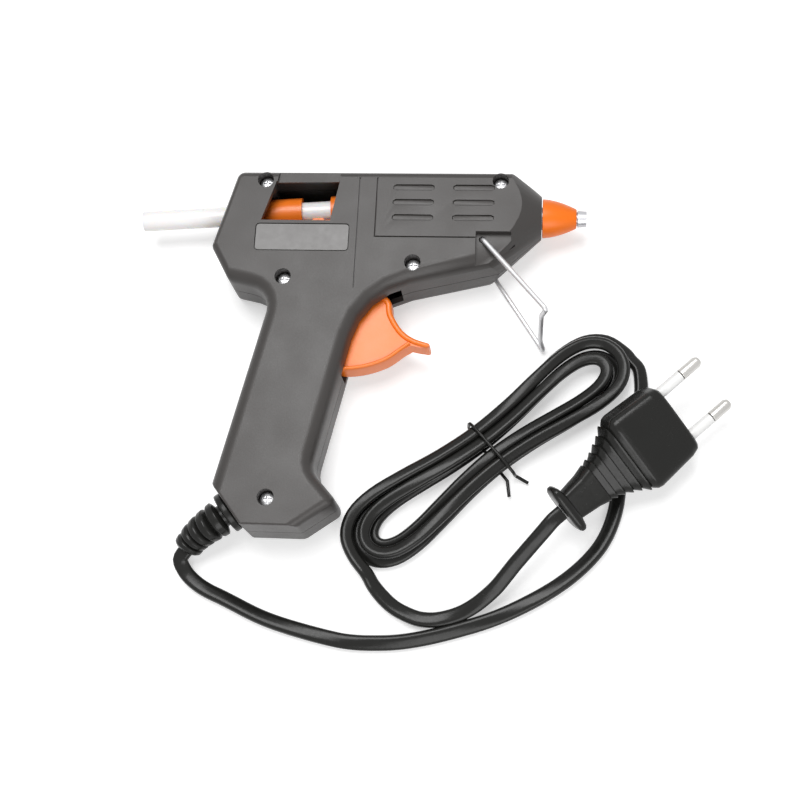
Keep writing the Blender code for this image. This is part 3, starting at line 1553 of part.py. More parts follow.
def make_strain_relief():
    """The ribbed boot: a flange on each side of the heel's wall, then ribs that taper."""
    spine = relief_spine()
    length = spine[-1][0]
    inner = CASE_WALL + GAP
    places = [
        (-inner - RELIEF_INNER_FLANGE, RELIEF_INNER_RADIUS),
        (-inner, RELIEF_INNER_RADIUS),
        (-inner + RELIEF_STEP, RELIEF_NECK_RADIUS),
        (GAP, RELIEF_NECK_RADIUS),
        (GAP + RELIEF_STEP, RELIEF_FLANGE_RADIUS),
        (RELIEF_FLANGE, RELIEF_FLANGE_RADIUS),
        (RELIEF_FLANGE + RELIEF_STEP, RELIEF_NECK_RADIUS),
    ]
    first = RELIEF_FLANGE + RELIEF_GROOVE
    pitch = (length - RELIEF_CAP - first) / RELIEF_RIBS
    for rib in range(RELIEF_RIBS):
        share = rib / RELIEF_RIBS
        radius = RELIEF_RIB_RADIUS + (RELIEF_END_RADIUS - RELIEF_RIB_RADIUS) * share
        start = first + rib * pitch
        root = min(RELIEF_NECK_RADIUS, radius - RELIEF_GROOVE)
        places += [
            (start, root),
            (start + RELIEF_STEP, radius),
            (start + pitch - RELIEF_GROOVE, radius),
            (start + pitch - RELIEF_GROOVE + RELIEF_STEP, root),
        ]
    places += [(length - RELIEF_CAP, RELIEF_END_RADIUS), (length, RELIEF_END_RADIUS * 0.86)]
    points = [on_spine(spine, distance) for distance, _ in places]
    radii = [radius for _, radius in places]
    relief = tube("strain_relief", points, RELIEF_NECK_RADIUS, 3, radii=radii)
    return finish(relief, "strain_relief", DARK)


def make_cord_entry():
    """The cord's tail in the butt, and the bar and screws that clamp it."""
    spine = relief_spine()
    _, outward = heel()
    start = spine[0][1] - outward * GAP
    places = [spot(shares, MIDDLE) for shares in TAIL_SHARES]
    away = (places[-1] - places[-2]).normalized()
    points = ended_route(
        start, -outward, places[:-1], places[-1], away, CORD_RADIUS, CORD_POINT_PITCH / 2
    )
    tail = tube("cord_tail", points, CORD_RADIUS, 2)
    finish(tail, "cord_tail", DARK)
    x, y = across(CLAMP_SHARES[0]), up(CLAMP_SHARES[1])
    reach = CLAMP_SPAN / 2 + POST_RADIUS
    low = MIDDLE + CORD_RADIUS + GAP
    bar = block(
        "cord_clamp_bar",
        (x - reach, y - CLAMP_WIDTH / 2, low),
        (x + reach, y + CLAMP_WIDTH / 2, low + CLAMP_THICKNESS),
    )
    holes = []
    for number, way in ((1, -1), (2, 1)):
        place = Vector((x + way * CLAMP_SPAN / 2, y, low + CLAMP_THICKNESS + GAP))
        down = Vector((0.0, 0.0, CLAMP_THICKNESS + OVERRUN))
        holes.append(
            rod(
                f"bar hole {number}",
                SCREW_SHANK_RADIUS + GAP,
                place - down,
                place + Vector((0.0, 0.0, OVERRUN)),
                sides=16,
            )
        )
        make_screw(f"clamp_screw_{number}", place, CLAMP_SCREW_LENGTH)
    cut(bar, *holes)
    return finish(bar, "cord_clamp_bar", BLACK)


def hank_points():
    """The hank's loops: they spiral in on the table, climb, and spiral out on top."""
    count = round(HANK_TURNS * HANK_LOOP_POINTS)
    turn = Matrix.Rotation(HANK_ANGLE, 3, "Z")
    points = []
    for step in range(count + 1):
        turns = step / HANK_LOOP_POINTS
        angle = 2 * math.pi * turns
        inward = HANK_TURNS / 2 - abs(turns - HANK_TURNS / 2)
        half_length = HANK_HALF_LENGTH - HANK_LENGTH_PITCH * inward
        bulb = HANK_BULB - HANK_BULB_PITCH * inward
        waist = HANK_WAIST - HANK_WAIST_PITCH * inward
        climb = min(max((turns - HANK_TURNS / 2) * 2 + 0.5, 0.0), 1.0)
        sine, cosine = math.sin(angle), math.cos(angle)
        widest = 1.5 * math.sqrt(3)
        y = bulb * widest * sine * cosine**2 + waist * sine**3
        lift = (2 * TIE_RADIUS + GAP) * sine**2
        z = HANK_LEVEL + HANK_LAYER * (3 * climb**2 - 2 * climb**3) + lift
        points.append(HANK_CENTRE + turn @ Vector((half_length * cosine, y, z)))
    return points


def least_gap(points, radius):
    """The least distance between the surfaces of strands that aren't neighbours."""
    skip = HANK_LOOP_POINTS // 3
    least = math.inf
    fine = []
    for a, b in zip(points, points[1:]):
        fine += [a.lerp(b, t / 4) for t in range(4)]
    for index, a in enumerate(fine):
        for b in fine[index + skip * 4 :]:
            least = min(least, (a - b).length)
    return least - 2 * radius


def make_cord():
    """The mains cord: the gun's lead, the hank, the plug's lead and the wire tie."""
    loops = hank_points()
    turn = Matrix.Rotation(HANK_ANGLE, 3, "Z")
    start_way = turn @ Vector((0.0, 1.0, 0.0))
    end_way = turn @ Vector((0.0, -1.0, 0.0))
    run = 2 * HANK_RADIUS
    loops = [loops[0] - start_way * run] + loops + [loops[-1] + end_way * run]
    print("hank's least gap to itself, mm:", round(least_gap(loops, HANK_RADIUS) / MM, 2))
    finish(tube("cord_hank", loops, HANK_RADIUS, 1), "cord_hank", DARK)
    spine = relief_spine()
    way = (spine[-1][1] - spine[-2][1]).normalized()
    first = spine[-1][1] + way * GAP
    meet = loops[0] - start_way * GAP
    lead_points = ended_route(
        first, way, LEAD_ROUTE, meet, start_way, CORD_RADIUS, CORD_POINT_PITCH
    )
    finish(tube("mains_cord_lead", lead_points, CORD_RADIUS, 2), "mains_cord_lead", DARK)
    axis = (PLUG_FACE - PLUG_COLLAR).normalized()
    last = PLUG_COLLAR - axis * GAP
    leave = loops[-1] + end_way * GAP
    tail_points = ended_route(
        leave, end_way, PLUG_LEAD_ROUTE, last, axis, CORD_RADIUS, CORD_POINT_PITCH
    )
    finish(tube("mains_cord_plug_lead", tail_points, CORD_RADIUS, 2), "mains_cord_plug_lead", DARK)
    lengths = [
        sum((b - a).length for a, b in zip(points, points[1:]))
        for points in (lead_points, loops, tail_points)
    ]
    print("cord's lengths, mm:", *(round(length / MM) for length in lengths))


def make_tie():
    """The wire tie: once round the hank's waist, its ends left standing."""
    turn = Matrix.Rotation(HANK_ANGLE, 3, "Z")
    half_width = HANK_WAIST + HANK_RADIUS + GAP + TIE_RADIUS
    low = TIE_RADIUS
    high = HANK_LEVEL + HANK_LAYER + HANK_RADIUS + 3 * TIE_RADIUS + 3 * GAP
    middle, half_height = (low + high) / 2, (high - low) / 2
    points = []
    for step in range(TIE_POINTS + 1):
        share = step / TIE_POINTS
        angle = math.radians(-35) - 2 * math.pi * share
        side, rise = math.cos(angle), math.sin(angle)
        stretch = 1 / max(abs(side) ** 4 + abs(rise) ** 4, MM) ** 0.25
        lean = TIE_LEAN * (share - 0.5)
        place = Vector((lean, -half_width * side * stretch, middle + half_height * rise * stretch))
        points.append(HANK_CENTRE + turn @ place)
    out = turn @ Vector((0.0, -1.0, 0.0))
    curl = turn @ Vector((1.0, 0.0, 0.0))
    drop = Vector((0.0, 0.0, -1.0))
    points.insert(0, points[0] + (out * 0.8 - curl * 0.5) * TIE_TAIL)
    points.append(points[-1] + (out * 0.8 + curl * 0.35 + drop * 0.2) * TIE_TAIL)
    return finish(tube("cord_tie", points, TIE_RADIUS, 1), "cord_tie", DARK)


def make_plug():
    """The two-pin plug: its moulded body, pins and their sleeves."""
    axis = (PLUG_FACE - PLUG_COLLAR).normalized()
    length = (PLUG_FACE - PLUG_COLLAR).length
    flat = Vector((-axis.y, axis.x, 0.0))
    wide = flat * math.cos(PLUG_ROLL) + Vector((0.0, 0.0, math.sin(PLUG_ROLL)))
    thick = axis.cross(wide)
    rings = []
    for place, width, thickness in PLUG_SECTION_SHARES:
        centre = PLUG_COLLAR + axis * length * place
        ring = []
        for step in range(PLUG_SIDES):
            angle = 2 * math.pi * step / PLUG_SIDES
            a, b = math.cos(angle), math.sin(angle)
            power = 2 / PLUG_SQUARENESS
            u = math.copysign(abs(a) ** power, a) * width * PLUG_HALF_WIDTH
            v = math.copysign(abs(b) ** power, b) * thickness * PLUG_HALF_THICKNESS
            ring.append(centre + wide * u + thick * v)
        rings.append(ring)
    body = loft("plug_body", rings)
    seats = []
    for number, way in ((1, 1), (2, -1)):
        base = PLUG_FACE + wide * way * PIN_SPACING / 2
        core = PIN_RADIUS - PIN_SLEEVE_WALL - GAP
        foot = base - axis * PIN_SEAT
        seats.append(rod(f"pin seat {number}", core + GAP, foot, base + axis * OVERRUN, sides=20))
        sleeve_end = GAP + PIN_SLEEVE_LENGTH
        profile = [
            (0.0, PIN_SEAT + PIN_LENGTH),
            (PIN_RADIUS * 0.7, PIN_SEAT + PIN_LENGTH - PIN_RADIUS * 0.2),
            (PIN_RADIUS, PIN_SEAT + PIN_LENGTH - PIN_RADIUS * 0.8),
            (PIN_RADIUS, PIN_SEAT + sleeve_end + GAP),
            (core, PIN_SEAT + sleeve_end + GAP),
            (core, GAP),
            (0.0, GAP),
        ]
        pin = turned(f"plug_pin_{number}", profile, foot, axis, sides=20)
        finish(pin, f"plug_pin_{number}", STEEL)
        ring_profile = [
            (core + GAP, sleeve_end),
            (PIN_RADIUS, sleeve_end),
            (PIN_RADIUS, GAP),
            (core + GAP, GAP),
        ]
        sleeve = turned(f"pin_sleeve_{number}", ring_profile, base, axis, sides=20, hollow=True)
        finish(sleeve, f"pin_sleeve_{number}", WHITE)
    cut(body, *seats)
    return finish(body, "plug_body", DARK)


make_left_shell()
make_right_shell()
make_label()
make_case_screws()
make_trigger()
make_return_spring()
make_carriage()
make_stick()
make_melt_chamber()
make_heating_stack()
make_inlet_sleeve()
make_nozzle()
make_stand()
make_wiring()
make_strain_relief()
make_cord_entry()
make_cord()
make_tie()
make_plug()
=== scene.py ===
"""The looks of a mini hot glue gun: camera, lights and finished pieces over its solids."""

import json
import logging
import math
from dataclasses import dataclass, field
from enum import Enum

import bpy
from mathutils import Matrix, Vector

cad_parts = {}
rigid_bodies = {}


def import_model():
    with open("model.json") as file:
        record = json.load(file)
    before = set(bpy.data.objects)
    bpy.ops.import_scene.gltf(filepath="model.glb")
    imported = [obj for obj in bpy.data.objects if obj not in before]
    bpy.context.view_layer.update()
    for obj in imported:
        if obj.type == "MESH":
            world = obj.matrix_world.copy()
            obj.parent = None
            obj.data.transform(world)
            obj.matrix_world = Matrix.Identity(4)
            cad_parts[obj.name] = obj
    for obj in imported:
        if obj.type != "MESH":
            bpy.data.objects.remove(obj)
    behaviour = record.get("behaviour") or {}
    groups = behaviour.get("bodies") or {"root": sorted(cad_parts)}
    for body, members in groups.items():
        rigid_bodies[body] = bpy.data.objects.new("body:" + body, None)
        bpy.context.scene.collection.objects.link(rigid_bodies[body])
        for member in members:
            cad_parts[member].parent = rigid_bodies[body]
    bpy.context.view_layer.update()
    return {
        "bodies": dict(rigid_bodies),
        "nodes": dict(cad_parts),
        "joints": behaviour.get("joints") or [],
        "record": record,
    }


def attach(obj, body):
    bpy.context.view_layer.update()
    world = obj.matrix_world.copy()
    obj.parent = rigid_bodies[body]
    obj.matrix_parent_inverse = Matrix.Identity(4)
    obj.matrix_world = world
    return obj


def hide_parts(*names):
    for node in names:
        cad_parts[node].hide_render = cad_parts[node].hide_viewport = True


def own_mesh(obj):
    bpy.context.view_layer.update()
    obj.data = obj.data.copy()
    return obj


log = logging.getLogger("glue_gun")

MM = 0.001
Point = tuple[float, float, float]
Flat = tuple[float, float]

# Route of the mains cord, in millimetres, as in the part's source
LEAD_MM: tuple[Point, ...] = (
    (-50.35, -90.64, 6.11), (-52.42, -93.85, 4.9), (-50.41, -98.04, 3.17), (-46.73, -101.38, 2.46),
    (-42.38, -103.86, 2.14), (-37.74, -105.79, 2.06), (-33.14, -107.83, 2.03),
    (-28.56, -109.92, 2.04), (-23.92, -111.86, 2.05), (-19.16, -113.49, 2.05),
    (-14.32, -114.86, 2.05), (-9.44, -116.09, 2.05), (-4.54, -117.21, 2.05), (0.39, -118.22, 2.05),
    (5.36, -119.02, 2.05), (10.37, -119.35, 2.05), (15.4, -119.28, 2.05), (20.43, -119.02, 2.05),
    (25.42, -118.42, 2.05), (30.36, -117.49, 2.05), (35.26, -116.31, 2.05), (40.1, -114.94, 2.05),
    (44.9, -113.44, 2.05), (49.67, -111.86, 2.05), (54.39, -110.11, 2.05), (59.01, -108.12, 2.05),
    (63.51, -105.88, 2.05), (67.93, -103.46, 2.05), (72.24, -100.88, 2.05), (76.42, -98.08, 2.05),
    (80.41, -95.01, 2.05), (84.15, -91.65, 2.05), (87.6, -87.99, 2.05), (90.65, -84, 2.05),
    (93.05, -79.58, 2.05), (94.8, -74.87, 2.05), (96.01, -69.99, 2.05), (96.66, -65, 2.05),
    (97.39, -60.03, 2.05), (98.52, -55.13, 2.05), (99.79, -50.26, 2.05), (101.07, -45.39, 2.05),
    (102.45, -40.55, 2.05), (103.68, -35.68, 2.05), (104.21, -30.68, 2.05), (104.2, -25.65, 2.05),
    (103.38, -20.7, 2.05), (100.81, -17.62, 2.05),
)
PLUG_LEAD_MM: tuple[Point, ...] = (
    (9.85, -93.41, 6.15), (12.41, -96.49, 6.15), (14.64, -100.1, 3.72), (17.83, -103.71, 2.75),
    (21.57, -106.86, 2.22), (25.93, -109.11, 1.99), (30.61, -110.62, 1.98), (35.5, -110.85, 2.2),
    (40.32, -109.93, 2.6), (44.9, -108.26, 3.25), (49.07, -105.85, 4.19), (52.86, -102.91, 5.31),
    (56.33, -99.69, 6.65), (59.32, -96.12, 8.25), (62.24, -92.46, 9.75), (65.33, -88.84, 11.02),
    (68.43, -85.21, 12.2), (71.55, -81.57, 13.34), (74.66, -77.93, 14.5), (77.58, -75.2, 14.5),
)

# Line that the boot at the handle's heel bends along, in millimetres, from inside the case
# The trigger's outline, X and Y from its pivot: down its front to the lip, and round its foot
TRIGGER_FRONT_MM: tuple[Flat, ...] = (
    (15.02, -0.38),
    (16.86, -2.82),
    (17.79, -7.43),
    (21.25, -12.94),
    (25.29, -15.88),
    (31.25, -17.80),
)
TRIGGER_RIM_MM: tuple[Flat, ...] = (
    (24.45, -18.20),
    (21.60, -20.37),
    (16.86, -23.95),
    (11.55, -26.26),
    (6.35, -27.54),
    (1.50, -27.93),
    (-3.00, -27.16),
)
# The line of the boot at the heel, in millimetres
BOOT_MM: tuple[Point, ...] = (
    (-30.86, -74.85, 12.5), (-37.87, -80.33, 12.5), (-38.49, -80.8, 12.47), (-39.1, -81.25, 12.4),
    (-39.71, -81.68, 12.28), (-40.32, -82.09, 12.12), (-40.92, -82.48, 11.92),
    (-41.52, -82.87, 11.69), (-42.11, -83.24, 11.43), (-42.7, -83.61, 11.14),
    (-43.28, -83.98, 10.83), (-43.85, -84.35, 10.5), (-44.41, -84.72, 10.16), (-44.96, -85.1, 9.8),
    (-45.5, -85.48, 9.44), (-46.03, -85.88, 9.07), (-46.55, -86.28, 8.7), (-47.06, -86.71, 8.34),
    (-47.55, -87.16, 7.98), (-48.03, -87.62, 7.63), (-48.5, -88.12, 7.3), (-48.95, -88.64, 6.99),
    (-49.38, -89.19, 6.7), (-49.8, -89.78, 6.44), (-50.2, -90.4, 6.2),
)


class Pattern(Enum):
    """How the surface of a finish varies."""

    MOULDED = "fine spark-eroded grain of a moulding"
    SATIN = "soft, even surface with a slow mottle"
    CAST = "coarse grain of a casting"
    DRAWN = "fine lines of drawn or turned metal"


@dataclass(frozen=True)
class Finish:
    """One material of the gun, as a maker would order it.

    Args:
        name: the material slot in the record.
        colour: linear base colour.
        rough: roughness of the clean surface.
        pattern: how the surface varies.
        grain: size of the grain, in metres.
        depth: height of the grain, in metres.
        mottle: how far the colour strays from its mean.
        metallic: 1 for bare metal.
        coat: weight of a clear top layer.
        glow: weight of light scattered inside, for wax and silicone.
        shine: strength of the plain reflection.
    """

    name: str
    colour: Point
    rough: float
    pattern: Pattern = Pattern.SATIN
    grain: float = 0.0006
    depth: float = 0.00002
    mottle: float = 0.08
    metallic: float = 0.0
    coat: float = 0.0
    glow: float = 0.0
    shine: float = 0.5

    def build(self, groups: "SurfaceGroups") -> bpy.types.Material:
        """Makes the material.

        Args:
            groups: the shared node groups.

        Returns:
            The finished material.
        """
        material = bpy.data.materials.new(self.name)
        material.use_nodes = True
        tree = material.node_tree
        shader = tree.nodes["Principled BSDF"]
        shader.inputs["Metallic"].default_value = self.metallic
        shader.inputs["Coat Weight"].default_value = self.coat
        shader.inputs["Coat Roughness"].default_value = 0.12
        shader.inputs["Specular IOR Level"].default_value = self.shine
        shader.inputs["Subsurface Weight"].default_value = self.glow
        shader.inputs["Subsurface Radius"].default_value = (1.0, 0.8, 0.6)
        shader.inputs["Subsurface Scale"].default_value = 0.004
        place = tree.nodes.new("ShaderNodeTexCoord")
        surface = tree.nodes.new("ShaderNodeGroup")
        surface.node_tree = groups.tree
        surface.inputs["Colour"].default_value = (*self.colour, 1.0)
        surface.inputs["Roughness"].default_value = self.rough
        surface.inputs["Grain Scale"].default_value = 1.0 / self.grain
        surface.inputs["Mottle"].default_value = self.mottle
        stretch = tree.nodes.new("ShaderNodeMapping")
        if self.pattern is Pattern.DRAWN:
            stretch.inputs["Scale"].default_value = (0.12, 1.0, 1.0)
        elif self.pattern is Pattern.CAST:
            stretch.inputs["Scale"].default_value = (0.6, 0.6, 0.6)
        tree.links.new(place.outputs["Object"], stretch.inputs["Vector"])
        tree.links.new(stretch.outputs["Vector"], surface.inputs["Vector"])
        bump = tree.nodes.new("ShaderNodeBump")
        bump.inputs["Strength"].default_value = 0.6
        bump.inputs["Distance"].default_value = self.depth
        tree.links.new(surface.outputs["Height"], bump.inputs["Height"])
        tree.links.new(surface.outputs["Colour"], shader.inputs["Base Color"])
        tree.links.new(surface.outputs["Roughness"], shader.inputs["Roughness"])
        tree.links.new(bump.outputs["Normal"], shader.inputs["Normal"])
        return material


class SurfaceGroups:
    """The node group that every finish shares: grain and mottle."""

    def __init__(self) -> None:
        """Builds the group once."""
        self.tree = bpy.data.node_groups.new("grain_and_mottle", "ShaderNodeTree")
        self._sockets()
        self._nodes()

    def _sockets(self) -> None:
        """Makes the group's named inputs and outputs."""
        face = self.tree.interface
        for name, kind, way in (
            ("Vector", "NodeSocketVector", "INPUT"),
            ("Colour", "NodeSocketColor", "INPUT"),
            ("Roughness", "NodeSocketFloat", "INPUT"),
            ("Grain Scale", "NodeSocketFloat", "INPUT"),
            ("Mottle", "NodeSocketFloat", "INPUT"),
            ("Colour", "NodeSocketColor", "OUTPUT"),
            ("Roughness", "NodeSocketFloat", "OUTPUT"),
            ("Height", "NodeSocketFloat", "OUTPUT"),
        ):
            face.new_socket(name=name, in_out=way, socket_type=kind)

    def _math(self, operation: str, first: object, second: object) -> bpy.types.NodeSocket:
        """Joins a Math node.

        Args:
            operation: the node's operation.
            first: a socket or number.
            second: a socket or number.

        Returns:
            The result's socket.
        """
        node = self.tree.nodes.new("ShaderNodeMath")
        node.operation = operation
        for slot, value in zip(node.inputs, (first, second)):
            if isinstance(value, bpy.types.NodeSocket):
                self.tree.links.new(value, slot)
            else:
                slot.default_value = value
        return node.outputs[0]

    def _noise(self, vector: object, scale: object, detail: float) -> bpy.types.NodeSocket:
        """Joins a Noise Texture and returns its factor."""
        node = self.tree.nodes.new("ShaderNodeTexNoise")
        node.inputs["Detail"].default_value = detail
        self.tree.links.new(vector, node.inputs["Vector"])
        if isinstance(scale, bpy.types.NodeSocket):
            self.tree.links.new(scale, node.inputs["Scale"])
        else:
            node.inputs["Scale"].default_value = scale
        return node.outputs["Fac"]

    def _nodes(self) -> None:
        """Joins the nodes between the inputs and the outputs."""
        start = self.tree.nodes.new("NodeGroupInput").outputs
        end = self.tree.nodes.new("NodeGroupOutput").inputs
        fine = self._noise(start["Vector"], start["Grain Scale"], 3.0)
        slow = self._noise(start["Vector"], 90.0, 2.0)
        stray = self._math("MULTIPLY", self._math("SUBTRACT", slow, 0.5), start["Mottle"])
        level = self._math("ADD", 1.0, self._math("MULTIPLY", stray, 2.0))
        tint = self.tree.nodes.new("ShaderNodeVectorMath")
        tint.operation = "SCALE"
        self.tree.links.new(start["Colour"], tint.inputs[0])
        self.tree.links.new(level, tint.inputs["Scale"])
        self.tree.links.new(tint.outputs["Vector"], end["Colour"])
        spread = self._math("MULTIPLY", self._math("SUBTRACT", fine, 0.5), 0.18)
        drift = self._math("MULTIPLY", self._math("SUBTRACT", slow, 0.5), 0.16)
        rough = self._math("ADD", start["Roughness"], self._math("ADD", spread, drift))
        self.tree.links.new(rough, end["Roughness"])
        self.tree.links.new(fine, end["Height"])


FINISHES: tuple[Finish, ...] = (
    Finish("case_black", (0.050, 0.046, 0.044), 0.40, Pattern.MOULDED, 0.0005, 0.00004, shine=0.33),
    Finish("label_grey", (0.150, 0.145, 0.142), 0.42, grain=0.002, depth=0.00001),
    Finish("orange_plastic", (0.92, 0.200, 0.016), 0.34, depth=0.00001, mottle=0.03, shine=0.45),
    Finish("orange_silicone", (0.95, 0.190, 0.010), 0.36, mottle=0.04, shine=0.35),
    Finish(
        "hot_melt_glue", (0.95, 0.92, 0.91), 0.30, grain=0.004, depth=0.00003, mottle=0.03, glow=0.5
    ),
    Finish("white_silicone", (0.72, 0.70, 0.66), 0.50, glow=0.2),
    Finish("cast_aluminium", (0.52, 0.52, 0.54), 0.40, Pattern.CAST, 0.0006, 0.00003, metallic=1.0),
    Finish("ceramic", (0.16, 0.15, 0.14), 0.55, Pattern.CAST, 0.0004),
    Finish("brass", (0.78, 0.58, 0.28), 0.28, Pattern.DRAWN, 0.0004, 0.00001, metallic=1.0),
    Finish("polyimide_film", (0.50, 0.24, 0.04), 0.22, depth=0.00001, coat=0.4),
    Finish("brown_wire", (0.20, 0.08, 0.04), 0.38, depth=0.00001),
    Finish("blue_wire", (0.05, 0.14, 0.46), 0.38, depth=0.00001),
    Finish("plated_steel", (0.60, 0.60, 0.61), 0.46, Pattern.DRAWN, 0.0004, 0.00001, metallic=1.0),
    Finish("spring_steel", (0.44, 0.44, 0.45), 0.30, Pattern.DRAWN, 0.0004, 0.00001, metallic=1.0),
    Finish("plated_brass", (0.56, 0.55, 0.53), 0.28, Pattern.DRAWN, 0.0005, 0.00001, metallic=1.0),
    Finish("white_plastic", (0.92, 0.92, 0.91), 0.35, depth=0.00001),
    Finish("cord_black", (0.012, 0.012, 0.011), 0.24, grain=0.0012, depth=0.00003, shine=0.22),
)


@dataclass
class Workbench:
    """What every piece is made on: the frame, the materials and the shared steps."""

    frame: dict
    materials: dict[str, bpy.types.Material] = field(default_factory=dict)
    slots: dict[str, str] = field(default_factory=dict)
    bodies: dict[str, str] = field(default_factory=dict)

    def __post_init__(self) -> None:
        """Builds the finishes and reads where each node belongs."""
        groups = SurfaceGroups()
        self.materials = {finish.name: finish.build(groups) for finish in FINISHES}
        record = self.frame["record"]
        self.slots = {row["node"]: row["material_slot"] for row in record["subparts"]}
        for body, nodes in record["behaviour"]["bodies"].items():
            for node in nodes:
                self.bodies[node] = body

    def dress_nodes(self) -> None:
        """Gives every carried-over node the material of its slot."""
        for name, node in self.frame["nodes"].items():
            node.data.materials.clear()
            node.data.materials.append(self.materials[self.slots[name]])

    def add(self, name: str, mesh: bpy.types.Mesh, slot: str) -> bpy.types.Object:
        """Puts a mesh in the scene as a piece.

        Args:
            name: the piece's name.
            mesh: its mesh, in place.
            slot: its material slot.

        Returns:
            The new object.
        """
        mesh.materials.clear()
        mesh.materials.append(self.materials[slot])
        piece = bpy.data.objects.new(name, mesh)
        bpy.context.scene.collection.objects.link(piece)
        return piece

    def loft(
        self, name: str, rings: list[list[Vector]], slot: str, degrees: float
    ) -> bpy.types.Object:
        """Skins a row of rings that have as many points each, and closes both ends.

        Args:
            name: the piece's name.
            rings: the rings, in order.
            slot: its material slot.
            degrees: sharpest angle that is shaded smooth.

        Returns:
            The new piece.
        """
        sides = len(rings[0])
        faces = []
        for ring in range(len(rings) - 1):
            for step in range(sides):
                a, b = ring * sides + step, ring * sides + (step + 1) % sides
                faces.append((a, b, b + sides, a + sides))
        last = len(rings) * sides
        faces.append(tuple(range(sides)))
        faces.append(tuple(range(last - 1, last - sides - 1, -1)))
        mesh = bpy.data.meshes.new(name)
        mesh.from_pydata([point for ring in rings for point in ring], [], faces)
        piece = self.add(name, mesh, slot)
        self.pick(piece)
        bpy.ops.object.mode_set(mode="EDIT")
        bpy.ops.mesh.select_all(action="SELECT")
        bpy.ops.mesh.normals_make_consistent(inside=False)
        bpy.ops.object.mode_set(mode="OBJECT")
        self.smooth(piece, degrees)
        return piece

    def pick(self, piece: bpy.types.Object) -> None:
        """Makes a piece the only selected and the active one."""
        bpy.ops.object.select_all(action="DESELECT")
        piece.select_set(True)
        bpy.context.view_layer.objects.active = piece

    def smooth(self, piece: bpy.types.Object, degrees: float) -> None:
        """Shades a piece smooth, but for edges sharper than an angle."""
        self.pick(piece)
        bpy.ops.object.shade_smooth_by_angle(angle=math.radians(degrees))

    def copy(self, node: str) -> bpy.types.Object:
        """Makes a merged copy of a node, in its own material."""
        source = self.frame["nodes"][node]
        piece = self.add(f"{node}_finished", source.data.copy(), self.slots[node])
        self.pick(piece)
        bpy.ops.object.mode_set(mode="EDIT")
        bpy.ops.mesh.select_all(action="SELECT")
        bpy.ops.mesh.remove_doubles(threshold=0.002 * MM)
        bpy.ops.mesh.dissolve_limited(angle_limit=math.radians(0.6))
        bpy.ops.object.mode_set(mode="OBJECT")
        return piece

    def soften(
        self, node: str, bevel: float, degrees: float = 32.0, piece: bpy.types.Object | None = None
    ) -> bpy.types.Object:
        """Makes a softened copy of a node: merged, its edges rounded and shaded smooth.

        Args:
            node: the node that the copy stands for.
            bevel: width of the rounding, in metres, or 0 for none.
            degrees: sharpest angle that is shaded smooth.
            piece: a copy that is already shaped, with a bevel weight on each edge to round.

        Returns:
            The copy, which rides on the node's body.
        """
        weighted = piece is not None
        piece = piece or self.copy(node)
        self.pick(piece)
        if bevel:
            edge = piece.modifiers.new("rounding", "BEVEL")
            edge.width = bevel
            edge.segments = 2
            edge.limit_method = "WEIGHT" if weighted else "ANGLE"
            edge.angle_limit = math.radians(34)
            bpy.ops.object.modifier_apply(modifier=edge.name)
        self.smooth(piece, degrees)
        flat = piece.modifiers.new("flat faces stay flat", "WEIGHTED_NORMAL")
        flat.keep_sharp = True
        flat.weight = 100
        bpy.ops.object.modifier_apply(modifier=flat.name)
        self.close(piece, node)
        return piece

    def close(self, piece: bpy.types.Object, *nodes: str) -> None:
        """Rides a piece on its nodes' body, in their place."""
        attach(piece, self.bodies[nodes[0]])
        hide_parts(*nodes)
        log.info("%s stands for %s", piece.name, ", ".join(nodes))


